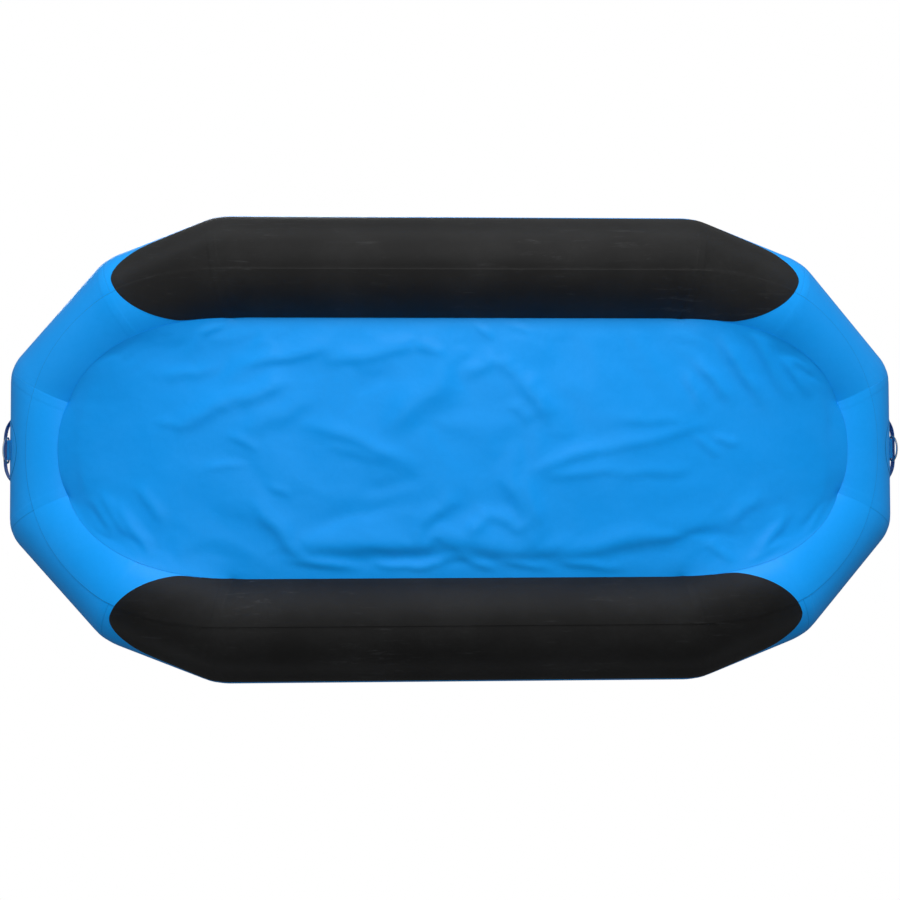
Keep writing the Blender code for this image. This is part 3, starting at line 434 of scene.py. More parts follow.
OVAL_POWER = 2.2
FLOOR_RADIUS = 0.2424
FLOOR_EDGE = edges_at(FLOOR_RADIUS, -6.0, 58.5, 0.88)
STRIP_EDGE = edges_at(RADIUS, 30.0, 5.5, 0.98)


def edge_width(edge, x):
    """Half width of an oval at a station."""
    x = abs(x)
    if x <= edge["straight"]:
        return edge["half_width"]
    share = (x - edge["straight"]) / (edge["half_length"] - edge["straight"])
    return edge["half_width"] * max(0.0, 1 - share**OVAL_POWER) ** (1 / OVAL_POWER)


# Tubes

# Length at each end of a run whose rings turn towards the mitre, how far puckers reach, and the width and darkness of
# the seam line, partly glue and partly painted shade in the seam's crease
SEAM_ZONE, PUCKER_REACH, SEAM_GLUE_AND_SHADE_WIDTH, SEAM_GLUE_AND_SHADE_LINE = 0.11, 0.12, 0.0035, 0.25
# Faces round a tube, and about how far apart its rings are
TUBE_SIDES, RING_SPACING = 96, 0.06


def ring_places(number, length):
    """Where a run's rings are along it: closer together at its mitres, most of all at a lap's edges."""
    sizes = bpy.context.scene.raft_sizes
    lap, fade = sizes.lap_width, sizes.lap_fade
    bare = [0.0, 0.003, 0.007, 0.013, 0.021, 0.031, 0.043, 0.056, 0.075]
    over = [0.0, 0.0007, 0.0013, 0.002, 0.004, 0.008, 0.014, 0.023]
    over += [lap - fade, lap - fade * 0.65, lap - fade * 0.35, lap, 0.048, 0.056, 0.075]
    first, last = (over if lapped(number, seam) else bare for seam in (number, number + 1))
    plain = length - 2 * SEAM_ZONE
    middle = max(2, round(plain / RING_SPACING))
    found = first + [SEAM_ZONE + plain * step / middle for step in range(middle + 1)]
    return found + [length - cut for cut in reversed(last)]


def add_run(number, roll):
    """One straight length of tube, cut to its mitres, with rings close together at the seams."""
    start, end, axis = corner(number), corner(number + 1), run_axis(number)
    length = (end - start).length
    turn = Matrix((roll, axis.cross(roll), axis)).transposed()
    deselect()
    bpy.ops.mesh.primitive_cylinder_add(
        vertices=TUBE_SIDES, radius=RADIUS, depth=length + 4 * RADIUS,
        end_fill_type="NOTHING", location=(start + end) / 2, rotation=turn.to_euler())
    obj = settle(bpy.context.object)
    cuts = ring_places(number, length)
    first, last = mitre(number), mitre(number + 1)
    with editing(obj):
        for index, cut in enumerate(cuts):
            share = cut / length
            near = first.dot(axis) if share < 0.5 else last.dot(axis)
            normal = first.lerp(last, ease((cut - 0.05) / (length - 0.1))).normalized()
            if cut < 0.1 or cut > length - 0.1:
                reach = min(cut, length - cut) / near
                cut = reach if share < 0.5 else length - reach
            bpy.ops.mesh.select_all(action="SELECT")
            bpy.ops.mesh.bisect(
                plane_co=start + axis * cut, plane_no=normal,
                clear_inner=index == 0, clear_outer=index == len(cuts) - 1)
    # Edge attribute: a dark line along the mitre seam, partly glue and partly painted shade in its crease
    seam = obj.data.attributes.new("seam", "FLOAT", "POINT").name
    line = obj.data.attributes.new("edge", "FLOAT", "POINT").name
    for index, vert in enumerate(obj.data.vertices):
        base, out = foot(number, vert.co)
        near = seam_distance(number, vert.co)
        obj.data.attributes[seam].data[index].value = ease(1 - near / PUCKER_REACH)
        obj.data.attributes[line].data[index].value = SEAM_GLUE_AND_SHADE_LINE * ease(1 - near / SEAM_GLUE_AND_SHADE_WIDTH)
        vert.co = on_tube(number, base + out * RADIUS)[0]
    return obj


def make_chamber(name, first):
    """Three mitred lengths with their lapped seams, joined and given the fabric's thickness."""
    roll = -UP
    runs = [add_run(first + 1, roll)]
    for number, seam in ((first, first + 1), (first + 2, first + 2)):
        normal = mitre(seam)
        runs.append(add_run(number, roll - normal * (2 * roll.dot(normal))))
    obj = merge(join(f"{name}_chamber_fabric", runs), 0.0002, outward=False)
    outward_shell(obj, corner(first + 1))
    return apply(obj, "SOLIDIFY", thickness=FABRIC, offset=-1.0, use_rim=True)


def outward_shell(obj, centre):
    """Turns an open shell's faces away from a centre line point."""
    polygon = min(obj.data.polygons, key=lambda face: (face.center - centre).length)
    if (polygon.center - centre).dot(polygon.normal) < 0:
        obj.data.flip_normals()


VALVES = {
    "bow": Vector((NOSE_X, 0.100, NOSE_Z)),
    "stern": Vector((-NOSE_X, -0.100, NOSE_Z)),
    "port": Vector((-0.780, SIDE_Y, SIDE_Z)),
    "starboard": Vector((0.780, -SIDE_Y, SIDE_Z)),
    "thwart_fore": Vector((0.420, 0.300, THWART_Z)),
    "thwart_aft": Vector((-0.420, 0.300, THWART_Z)),
}
# Radius of the hole in the fabric under each of them
VALVE_HOLE = 0.0236


def valve_crown(name):
    """Where the valve's axis meets the crown of its tube in the frame."""
    return VALVES[name] + UP * (THWART_RADIUS if name.startswith("thwart") else RADIUS * TUBE_FLAT)


def cut_valve_hole(obj, name):
    """Opens the fabric under a valve's flange."""
    deselect()
    bpy.ops.mesh.primitive_cylinder_add(vertices=48, radius=VALVE_HOLE, depth=0.08, location=valve_crown(name))
    tool = settle(bpy.context.object)
    apply(obj, "BOOLEAN", operation="DIFFERENCE", object=tool, solver="EXACT")
    remove(tool)
    return obj


# Materials

PUCKER_HEIGHT = 0.004


def group_tree(name, inputs, outputs):
    tree = bpy.data.node_groups.new(name, "ShaderNodeTree")
    for label, kind, default in inputs:
        socket = tree.interface.new_socket(label, in_out="INPUT", socket_type=f"NodeSocket{kind}")
        socket.default_value = default
    for label, kind in outputs:
        tree.interface.new_socket(label, in_out="OUTPUT", socket_type=f"NodeSocket{kind}")
    return tree, tree.nodes.new("NodeGroupInput"), tree.nodes.new("NodeGroupOutput")


def node(tree, kind, inputs=None, **settings):
    """A node with its settings, and its inputs set or linked by name or number."""
    item = tree.nodes.new(f"ShaderNode{kind}")
    for key, value in settings.items():
        setattr(item, key, value)
    for key, value in (inputs or {}).items():
        if isinstance(value, bpy.types.NodeSocket):
            tree.links.new(value, item.inputs[key])
        else:
            item.inputs[key].default_value = value
    return item


def maths(tree, operation, first, second=0.0, third=0.0, clamp=False):
    item = node(tree, "Math", {0: first, 1: second, 2: third}, operation=operation, use_clamp=clamp)
    return item.outputs[0]


def times(tree, first, second, clamp=False):
    return maths(tree, "MULTIPLY", first, second, clamp=clamp)


def above(tree, value, level, gain):
    """How far a value lies above a level, times a gain, from 0 to 1."""
    return times(tree, maths(tree, "SUBTRACT", value, level), gain, clamp=True)


def pattern(tree, kind, place, scale, output, bands=None, **more):
    """A noise or a wave at a place, with its other inputs given by name."""
    inputs = {"Vector": place, "Scale": scale, **{key.replace("_", " ").title(): more[key] for key in more}}
    settings = {"bands_direction": bands} if bands else {}
    return node(tree, kind, inputs, **settings).outputs[output]


def grain(tree, place, scale, detail, **more):
    return pattern(tree, "TexNoise", place, scale, 0, detail=detail, **more)


def wave(tree, place, scale, bands, **more):
    return pattern(tree, "TexWave", place, scale, 1, bands, **more)


def scaled(tree, colour, level):
    return node(tree, "VectorMath", {0: colour, "Scale": level}, operation="SCALE").outputs[0]


def put_out(tree, end, **values):
    for label, value in values.items():
        tree.links.new(value, end.inputs[label])
    return tree


def mixed(tree, factor, first, second):
    item = node(tree, "Mix", {0: factor, 6: first, 7: second}, data_type="RGBA", clamp_factor=True)
    return item.outputs[2]


def coated_group():
    """Coated fabric: cloth grain under the coating, cloudy tone, chalky dust and creases."""
    tree, start, end = group_tree(
        "Coated fabric",
        [("Vector", "Vector", (0, 0, 0)), ("Color", "Color", (1, 1, 1, 1)), ("Tone", "Float", 0.1),
         ("Dust", "Float", 0.1), ("Grain", "Float", 700.0), ("Crease", "Float", 0.3), ("Sheen", "Float", 0.45)],
        [("Color", "Color"), ("Roughness", "Float"), ("Height", "Float")])
    place, tone = start.outputs["Vector"], start.outputs["Tone"]
    cloud = grain(tree, place, 2.6, 5.0, roughness=0.6)
    fine = grain(tree, place, 55.0, 6.0, roughness=0.65)
    threads = maths(tree, "DIVIDE", start.outputs["Grain"], 20.0)
    weave = times(tree, *[
        wave(tree, place, threads, axis, distortion=0.6, detail=1.0, detail_scale=2.0) for axis in "XY"])
    crease = grain(tree, place, 9.0, 3.0, distortion=0.8)
    level = maths(tree, "MULTIPLY_ADD", maths(tree, "SUBTRACT", cloud, 0.5), tone, 1.0)
    level = maths(tree, "MULTIPLY_ADD", maths(tree, "SUBTRACT", fine, 0.5), times(tree, tone, 0.5), level)
    dust = times(tree, times(tree, above(tree, cloud, 0.42, 3.0), fine), start.outputs["Dust"], clamp=True)
    dusty = mixed(tree, dust, scaled(tree, start.outputs["Color"], level), (0.52, 0.55, 0.57, 1.0))
    rough = maths(tree, "MULTIPLY_ADD", maths(tree, "SUBTRACT", fine, 0.5), 0.16, start.outputs["Sheen"])
    rough = maths(tree, "ADD", rough, times(tree, dust, 0.6), clamp=True)
    height = maths(tree, "MULTIPLY_ADD", weave, 0.00006, times(tree, fine, 0.0002))
    height = maths(tree, "ADD", height, times(tree, times(tree, crease, 0.004), start.outputs["Crease"]))
    return put_out(tree, end, Color=dusty, Roughness=rough, Height=height)


def scuff_group():
    """Fine scuffs and handling marks, as a mask and a height."""
    tree, start, end = group_tree(
        "Scuffs", [("Vector", "Vector", (0, 0, 0)), ("Amount", "Float", 0.3), ("Scale", "Float", 6.0)],
        [("Mask", "Float"), ("Height", "Float")])
    long = node(tree, "Mapping", {"Vector": start.outputs["Vector"], "Rotation": (0.0, 0.0, 0.35),
                                  "Scale": (1.0, 9.0, 3.0)}).outputs[0]
    lines = grain(tree, long, start.outputs["Scale"], 8.0, roughness=0.75, distortion=0.4)
    area = grain(tree, start.outputs["Vector"], 3.1, 3.0)
    marks = times(tree, above(tree, lines, 0.57, 9.0), above(tree, area, 0.45, 4.0))
    mask = times(tree, marks, start.outputs["Amount"], clamp=True)
    return put_out(tree, end, Mask=mask, Height=times(tree, mask, -0.0002))


def webbing_group():
    """Ribbed webbing: ribs across and twill along, painted shade in the grooves with lighter rib tops, and random fuzz
    that lightens it.
    """
    tree, start, end = group_tree(
        "Webbing", [("Vector", "Vector", (0, 0, 0)), ("Color", "Color", (1, 1, 1, 1)), ("Rib", "Float", 0.0026)],
        [("Color", "Color"), ("Roughness", "Float"), ("Height", "Float")])
    scale = maths(tree, "DIVIDE", 0.314, start.outputs["Rib"])
    place = start.outputs["Vector"]
    ribs = wave(tree, place, scale, "X", distortion=0.3)
    twill = wave(tree, place, times(tree, scale, 0.8), "DIAGONAL", distortion=0.4)
    rows = wave(tree, place, times(tree, scale, 0.6), "Y")
    fuzz = grain(tree, place, 420.0, 4.0)
    weave = times(tree, maths(tree, "ADD", ribs, times(tree, twill, 0.6)), rows)
    # Colour darker in the grooves and lighter on the ribs' tops: painted shade, with random lighter fuzz
    light = maths(tree, "MULTIPLY_ADD", weave, 0.55, maths(tree, "MULTIPLY_ADD", fuzz, 0.5, 0.35))
    return put_out(
        tree, end, Color=scaled(tree, start.outputs["Color"], light),
        Roughness=maths(tree, "MULTIPLY_ADD", fuzz, 0.2, 0.62),
        Height=times(tree, maths(tree, "MULTIPLY_ADD", fuzz, 0.3, weave), 0.0006))


def new_material(name):
    material = bpy.data.materials.new(name)
    material.use_nodes = True
    tree = material.node_tree
    return material, tree, tree.nodes["Principled BSDF"]


def placed(tree, name, values, vector=None):
    """A shared effect placed in a material, on Object coordinates unless another vector is given."""
    item = tree.nodes.new("ShaderNodeGroup")
    item.node_tree = GROUPS[name]
    tree.links.new(vector or node(tree, "TexCoord").outputs["Object"], item.inputs["Vector"])
    for key, value in values.items():
        item.inputs[key].default_value = value
    return item


def dress(tree, shader, base, rough, height, distance=1.0, strength=1.0):
    tree.links.new(base, shader.inputs["Base Color"])
    tree.links.new(rough, shader.inputs["Roughness"])
    bump = node(tree, "Bump", {"Height": height, "Distance": distance, "Strength": strength})
    tree.links.new(bump.outputs[0], shader.inputs["Normal"])


def fabric_material(name, base, tone, dust, crease, sheen, specular, scuffs=0.0, puckers=0.0, lines=0.0):
    material, tree, shader = new_material(name)
    cloth = placed(tree, "Coated fabric", {
        "Color": (*base, 1.0), "Tone": tone, "Dust": dust, "Crease": crease, "Sheen": sheen})
    shader.inputs["Specular IOR Level"].default_value = specular
    base_colour, height = cloth.outputs["Color"], cloth.outputs["Height"]
    rough = cloth.outputs["Roughness"]
    if scuffs:
        marks = placed(tree, "Scuffs", {"Amount": scuffs})
        base_colour = mixed(tree, marks.outputs["Mask"], base_colour, (0.30, 0.32, 0.34, 1.0))
        rough = maths(tree, "ADD", rough, times(tree, marks.outputs["Mask"], 0.3), clamp=True)
        height = maths(tree, "ADD", height, marks.outputs["Height"])
    if lines:
        # Mixes the edge attribute's dark navy line into the colour: partly glue, partly painted shade at glued edges
        # and seams
        line = times(tree, node(tree, "Attribute", attribute_name="edge").outputs["Fac"], lines)
        base_colour = mixed(tree, line, base_colour, (0.002, 0.040, 0.140, 1.0))
    if puckers:
        near = node(tree, "Attribute", attribute_name="seam").outputs["Fac"]
        ripple = grain(tree, node(tree, "TexCoord").outputs["Object"], 16.0, 2.0, distortion=0.6)
        height = maths(tree, "ADD", height, times(tree, times(tree, near, ripple), PUCKER_HEIGHT * puckers))
    dress(tree, shader, base_colour, rough, height)
    return material


def webbing_material(name, base, rib):
    material, tree, shader = new_material(name)
    cloth = placed(tree, "Webbing", {"Color": (*base, 1.0), "Rib": rib}, node(tree, "UVMap").outputs[0])
    shader.inputs["Specular IOR Level"].default_value = 0.15
    dress(tree, shader, cloth.outputs["Color"], cloth.outputs["Roughness"], cloth.outputs["Height"])
    return material


def hard_material(name, base, roughness, metallic, scuffs, fineness):
    """Steel or moulded plastic, with a fine grain and handling marks."""
    material, tree, shader = new_material(name)
    shader.inputs["Metallic"].default_value = metallic
    marks = placed(tree, "Scuffs", {"Amount": scuffs, "Scale": 40.0})
    fine = grain(tree, node(tree, "TexCoord").outputs["Object"], fineness, 4.0)
    toned = scaled(tree, base, maths(tree, "MULTIPLY_ADD", fine, 0.2, 0.9))
    pale = tuple(min(1.0, value * 1.4 + 0.04) for value in base)
    worn = mixed(tree, marks.outputs["Mask"], toned, (*pale, 1.0))
    rough = maths(tree, "MULTIPLY_ADD", fine, 0.1, roughness)
    rough = maths(tree, "ADD", rough, times(tree, marks.outputs["Mask"], 0.25), clamp=True)
    height = maths(tree, "MULTIPLY_ADD", fine, 0.00004, marks.outputs["Height"])
    dress(tree, shader, worn, rough, height)
    return material


GROUPS, FINISH = {}, {}


class RAFT_OT_materials(bpy.types.Operator):
    """Build the shared effects and the raft's materials"""

    bl_idname = "raft.materials"
    bl_label = "Materials"

    def execute(self, context):
        look, sizes = context.scene.raft_colours, context.scene.raft_sizes
        GROUPS.update({"Coated fabric": coated_group(), "Scuffs": scuff_group(), "Webbing": webbing_group()})
        # Numbers of a fabric: tone, dust, crease, sheen, specular. Of a hard piece: roughness, metal, scuffs, fineness
        FINISH.update({
            # lines sets how dark the edge and seam lines are, which are partly painted shade
            "hull": fabric_material("Hull fabric", look.hull, 0.12, 0.02, 0.25, 0.40, 0.16, puckers=0.4, lines=0.8),
            # The floor's colour is a darker copy of the hull's fabric: painted shade
            "floor": fabric_material("Floor fabric", look.floor, 0.12, 0.02, 0.4, 0.42, 0.11),
            "wear": fabric_material("Wear fabric", look.wear, 0.30, 0.02, 0.2, 0.48, 0.23, scuffs=0.10),
            "baffle": fabric_material("Baffle fabric", look.baffle, 0.10, 0.02, 0.3, 0.60, 0.30),
            "webbing": webbing_material("Navy webbing", look.webbing, sizes.webbing_rib),
            "sleeve": webbing_material("Blue webbing", look.sleeve, sizes.webbing_rib),
            "steel": hard_material("Stainless steel", look.steel, 0.14, 1.0, 0.35, 900.0),
            "wire": hard_material("Spring wire", look.steel, 0.24, 1.0, 0.10, 2500.0),
            "valve": hard_material("Valve plastic", look.valve, 0.34, 0.0, 0.30, 1800.0),
            "button": hard_material("Button plastic", look.button, 0.34, 0.0, 0.30, 1800.0),
            "thread": hard_material("Sewing thread", look.thread, 0.60, 0.0, 0.05, 2200.0),
        })
        return {"FINISHED"}


# Stage

# The photo's camera: place, axis times angle of its turn, lens and sensor in millimetres
CAMERA_PLACE, CAMERA_TURN = Vector((-0.2022, 0.1364, -4.6541)), Vector((-0.0265, -0.0350, -0.0024))
CAMERA_LENS, CAMERA_SENSOR = 45.775, 36.0


def area_lamp(name, place, target, width, height, power):
    deselect()
    bpy.ops.object.light_add(type="AREA", location=place)
    lamp = bpy.context.object
    lamp.name = name
    lamp.data.shape = "RECTANGLE"
    lamp.data.size, lamp.data.size_y, lamp.data.energy = width, height, power
    lamp.rotation_euler = (Vector(target) - Vector(place)).to_track_quat("-Z", "Y").to_euler()
    return lamp


class RAFT_OT_stage(bpy.types.Operator):
    """Set up the pale floor, the soft lamps, the sky and the camera under the raft"""

    bl_idname = "raft.stage"
    bl_label = "Stage"

    def execute(self, context):
        scene = context.scene
        scene.view_settings.view_transform = "Standard"
        self.make_floor()
        self.make_world(scene)
        # Place, target, width, height and power
        area_lamp("Key lamp", (0.4, -5.1, -4.0), (0, 0, 0.2), 5.0, 3.0, 280.0)
        area_lamp("Under lamp", (-0.6, -1.0, -5.4), (0, 0, 0.2), 3.0, 3.0, 60.0)
        area_lamp("Top lamp", (-1.5, -2.0, 5.5), (0, 0, 0.3), 4.0, 4.0, 250.0)
        self.make_camera(scene)
        return {"FINISHED"}

    def make_floor(self):
        """A ground that shows from above with its shadow, goes white further out, and lets light through from below."""
        deselect()
        bpy.ops.mesh.primitive_plane_add(size=40.0, location=(0.0, 0.0, -0.002))
        ground = settle(bpy.context.object)
        ground.name = ground.data.name = "stage_floor"
        material = bpy.data.materials.new("Pale floor")
        material.use_nodes = True
        tree = material.node_tree
        tree.nodes.clear()
        path = node(tree, "LightPath").outputs
        seen = maths(tree, "MAXIMUM", path["Is Camera Ray"], path["Is Glossy Ray"])
        front = maths(tree, "SUBTRACT", 1.0, node(tree, "NewGeometry").outputs["Backfacing"])
        reach = node(tree, "VectorMath", {0: node(tree, "TexCoord").outputs["Object"]}, operation="LENGTH")
        # From 2.0 m to 4.4 m away the ground goes over to white
        far = maths(tree, "MULTIPLY_ADD", reach.outputs["Value"], 0.42, -0.85, clamp=True)
        far = times(tree, times(tree, far, far), maths(tree, "MULTIPLY_ADD", far, -2.0, 3.0))
        shade = node(tree, "BsdfDiffuse", {"Color": (0.93, 0.93, 0.93, 1.0)})
        white = node(tree, "Emission", {"Color": (1.0, 1.0, 1.0, 1.0), "Strength": 1.0})
        shown = node(tree, "MixShader", {
            0: times(tree, path["Is Camera Ray"], far), 1: shade.outputs[0], 2: white.outputs[0]})
        clear = node(tree, "BsdfTransparent")
        both = node(tree, "MixShader", {0: times(tree, seen, front), 1: clear.outputs[0], 2: shown.outputs[0]})
        tree.links.new(both.outputs[0], node(tree, "OutputMaterial").inputs["Surface"])
        ground.data.materials.append(material)

    def make_world(self, scene):
        """Even light, weaker at the horizon and stronger from one side, and plain white to the camera."""
        world = bpy.data.worlds.new("Studio")
        scene.world = world
        world.use_nodes = True
        tree = world.node_tree
        tree.nodes.clear()
        way = node(tree, "SeparateXYZ", {0: node(tree, "TexCoord").outputs["Generated"]}).outputs
        path = node(tree, "LightPath").outputs
        level = maths(tree, "MULTIPLY_ADD", way[1], -0.28, maths(tree, "MULTIPLY_ADD", way[2], -0.13, 0.43))
        level = times(tree, level, maths(tree, "MULTIPLY_ADD", times(tree, way[2], way[2]), 0.30, 0.72))
        level = times(tree, level, maths(tree, "MULTIPLY_ADD", path["Is Glossy Ray"], -0.45, 1.0))
        soft = node(tree, "Background", {"Color": (0.97, 0.985, 1.0, 1.0), "Strength": level})
        white = node(tree, "Background", {"Color": (1.0, 1.0, 1.0, 1.0), "Strength": 1.0})
        seen = maths(tree, "MAXIMUM", path["Is Camera Ray"], path["Is Transmission Ray"])
        both = node(tree, "MixShader", {0: seen, 1: soft.outputs[0], 2: white.outputs[0]})
        tree.links.new(both.outputs[0], node(tree, "OutputWorld").inputs["Surface"])

    def make_camera(self, scene):
        deselect()
        bpy.ops.object.camera_add(location=CAMERA_PLACE)
        camera = bpy.context.object
        camera.name = "Camera"
        camera.data.lens, camera.data.sensor_width = CAMERA_LENS, CAMERA_SENSOR
        right, down, ahead = Matrix.Rotation(CAMERA_TURN.length, 3, CAMERA_TURN.normalized())
        camera.rotation_euler = Matrix((right, -down, -ahead)).transposed().to_euler()
        scene.camera = camera


# Pieces


class RAFT_OT_chambers(bpy.types.Operator):
    """Model the four air chambers of the mitred tube with their lapped seams"""

    bl_idname = "raft.chambers"
    bl_label = "Air chambers"

    def execute(self, context):
        for name, first in CHAMBERS.items():
            obj = make_chamber(name, first)
            cut_valve_hole(obj, name)
            finish(smooth(obj, 50), FINISH["hull"], nodes=[f"tube_chamber_{name}"])
        return {"FINISHED"}


class RAFT_OT_baffles(bpy.types.Operator):
    """Model the domed baffles between the air chambers"""

    bl_idname = "raft.baffles"
    bl_label = "Baffles"

    def execute(self, context):
        for name, number, into in (("starboard_bow", 1, 1), ("port_bow", 4, -1),
                                   ("port_stern", 7, 1), ("starboard_stern", 10, -1)):
            self.make_baffle(name, number, into)
        return {"FINISHED"}

    def make_baffle(self, name, number, into):
        radius, skirt, dome, pleating, pleats = RADIUS - 0.0016, 0.036, 0.085, 0.006, 12
        run = number if into > 0 else number - 1
        axis, normal, centre = run_axis(run) * into, mitre(number) * into, corner(number)
        across = axis.cross(UP).normalized()
        above = across.cross(axis).normalized()
        rows, sides = 14, 72

        def place(column, row):
            angle = 2 * math.pi * column / sides
            rail = (across * math.cos(angle) + above * math.sin(angle)) * radius
            seam = rail - axis * (rail.dot(normal) / axis.dot(normal))
            rim = on_tube(run, centre + seam)[0] - centre
            if row == 0:
                return on_tube(run, centre + seam + axis * skirt)[0]
            lift = math.pi / 2 * (row - 1) / (rows - 1)
            pleat = 1 + pleating * math.sin(pleats * angle) * math.sin(2 * lift)
            return centre + rim * (math.cos(lift) * pleat) + normal * (dome * math.sin(lift))

        obj = laid_grid(f"{name}_baffle_fabric", sides, rows, place)
        merge(obj, 0.0001)
        outward_shell(obj, centre - normal)
        apply(obj, "SOLIDIFY", thickness=FABRIC, offset=-1.0)
        finish(smooth(obj, 60), FINISH["baffle"], nodes=[f"baffle_{name}"])


class RAFT_OT_floor(bpy.types.Operator):
    """Model the floor sheet, and let it wrinkle between its glued edges"""

    bl_idname = "raft.floor"
    bl_label = "Floor sheet"

    # Points along and across, where the sheet's corners are, and how deep the glue lets its rim in
    COLUMNS, ROWS, CORNER_X, GLUE = 280, 96, 1.52, 0.0017
    # How the folds' half widths grow on the lit and the shaded side, and their heights
    SPREAD, LIFT = (1.6, 2.4), 1.7
    # Uneven heights between the folds, each with its fineness
    WAVES = ((0.0030, 2.6), (0.0028, 5.5), (0.0007, 20.0))
    # The folds in millimetres: start, end, bow, height towards the ground, half width
    FOLDS = [[value / 1000 for value in line] for line in (
        (-720, 407, -140, 389, 0, 9, 30), (-170, 389, 430, 430, 0, 9, 30), (410, 434, 1040, 321, 13, 6, 20),
        (-830, 231, -690, 416, 0, 6, 18), (-530, 447, 370, 462, 9, -4, 16), (-1520, 214, -1420, 346, 0, 5, 11),
        (-1480, 188, -1350, 374, 0, 6, 12), (-1410, 231, -1280, 413, 0, 6, 12), (-1320, 165, -1220, 298, 0, 5, 12),
        (-1140, -83, -910, -203, -9, 8, 20), (-920, -190, -720, -272, 6, 9, 20), (-880, -69, -620, -192, 0, 5, 24),
        (-900, -349, -530, -406, 6, 6, 15), (-510, -367, -160, -423, 6, 6, 16), (-170, -419, -60, -393, 0, 5, 12),
        (-610, -99, -210, 70, -11, 6, 16), (-530, -19, -270, 74, 0, 3, 12), (-290, -94, -10, -328, 9, 10, 34),
        (-440, -224, -270, -311, 0, -4, 20), (30, -311, 160, -359, 0, 5, 16), (160, -359, 260, -289, 0, 5, 16),
        (250, -289, 370, -124, -9, 10, 24), (220, -181, 300, -111, 0, 4, 14), (320, 97, 600, 2, -9, 5, 13),
        (350, 123, 650, 85, 0, 4, 12), (590, 11, 1030, -93, 6, 4, 13), (670, -111, 950, -110, 0, 3, 12),
        (640, 106, 950, 103, 0, 3, 12), (990, -45, 1080, 34, 0, 4, 8), (1070, -36, 1170, -10, 0, 4, 8),
        (960, -311, 1020, -171, 0, 5, 13), (1010, -359, 1140, -202, 0, 7, 14), (1110, -434, 1270, -193, -6, 8, 15),
        (1240, -460, 1380, -228, 0, 6, 14), (1370, -373, 1480, -228, 0, 6, 12), (1130, 312, 1270, 204, 0, 5, 14),
        (1250, 426, 1390, 296, 0, 5, 12), (1210, 484, 1350, 404, 0, 3, 10), (170, 114, 310, 374, -17, 8, 22),
        (280, 119, 350, 352, 0, 5, 18), (-170, 311, 0, 213, 0, 6, 18), (40, 351, 160, 274, 0, 6, 16),
        (160, 274, 270, 356, 0, 6, 16), (-620, 348, -230, 229, -17, -5, 20), (-400, 194, -160, 130, 0, -4, 16),
        (-700, 467, -430, 501, 0, 4, 9), (-360, 476, -140, 511, 0, 4, 9), (-170, 502, 0, 450, 0, 5, 10),
        (0, 450, 140, 502, 0, 5, 10), (180, 472, 400, 514, 0, 4, 9), (430, 480, 690, 516, 0, 4, 9),
        (-1040, 85, -890, 72, 0, 3, 8), (-940, -52, -830, 4, 0, 4, 9), (-1240, -100, -1120, -87, 0, 3, 9),
        (-780, 159, -690, 189, 0, 3, 9), (-1060, -470, -970, -517, 0, 4, 8), (70, -519, 140, -454, 0, 4, 8),
        (200, -520, 300, -481, 0, 3, 8), (-1220, -289, -1000, -328, 0, 4, 14), (810, 341, 1160, 369, 0, -3, 14),
        (1040, 407, 1140, 473, 0, 4, 10),
    )]

    def execute(self, context):
        calm_rows = 6
        spots, inward = self.plan(), self.inward()
        level = self.relaxed(spots)

        def place(column, row):
            spot = spots[row][column]
            rise = self.fold(spot) * ease(inward[row, column] / calm_rows)
            return Vector((spot.x, spot.y, level[row, column] - rise))

        obj = laid_grid("floor_fabric", self.COLUMNS, self.ROWS, place)
        still = obj.vertex_groups.new(name="edge")
        still.add([int(index) for index in np.flatnonzero(inward == 0)], 1.0, "REPLACE")
        self.wrinkle(context, obj, inward.reshape(-1, 1))
        self.soften(obj)
        apply(obj, "SOLIDIFY", thickness=FLOOR_FABRIC, offset=0.0)
        merge(obj)
        finish(smooth(obj, 60), FINISH["floor"], nodes=["floor_sheet"])
        return {"FINISHED"}

    def inward(self):
        """How many rows or columns each point is away from the rim."""
        row, column = np.indices((self.ROWS + 1, self.COLUMNS + 1))
        return np.minimum(np.minimum(column, self.COLUMNS - column), np.minimum(row, self.ROWS - row))

    def plan(self):
        """The sheet's points in plan, spread between its four sides."""
        sides = self.split(closed_oval(oval(**FLOOR_EDGE)), self.CORNER_X)
        top, left, bottom, right = (resample(side, count) for side, count in zip(sides, (self.COLUMNS, self.ROWS) * 2))

        def spot(column, row):
            s, t = column / self.COLUMNS, row / self.ROWS
            edges = bottom[column].lerp(top[self.COLUMNS - column], t) + left[self.ROWS - row].lerp(right[row], s)
            low = bottom[0].lerp(bottom[-1], s)
            high = top[-1].lerp(top[0], s)
            return edges - low.lerp(high, t)

        return [[spot(column, row) for column in range(self.COLUMNS + 1)] for row in range(self.ROWS + 1)]

    def relaxed(self, spots):
        """The points' heights, where the sheet spans its glued rim like a skin that hangs low in the middle."""
        sag, gain, steps = 0.031, 1.93, 800
        inside = self.inward() > 0
        level = np.zeros(inside.shape)
        for row, column in np.argwhere(~inside):
            level[row, column] = under(*spots[row][column], FLOOR_RADIUS + GAP)[1].z - self.GLUE
        across = np.linspace(0, 1, self.ROWS + 1)[1:-1, None]
        level[1:-1, 1:-1] = level[:1, 1:-1] + np.diff(level[[0, -1], 1:-1], axis=0) * across
        row, column = np.indices(level.shape)
        load = 2 * sag / self.ROWS**2
        for step in range(steps):
            mean = sum(np.roll(level, way, axis) for axis in (0, 1) for way in (1, -1)) / 4 - load
            now = inside & ((row + column) % 2 == step % 2)
            level[now] += gain * (mean[now] - level[now])
        return level

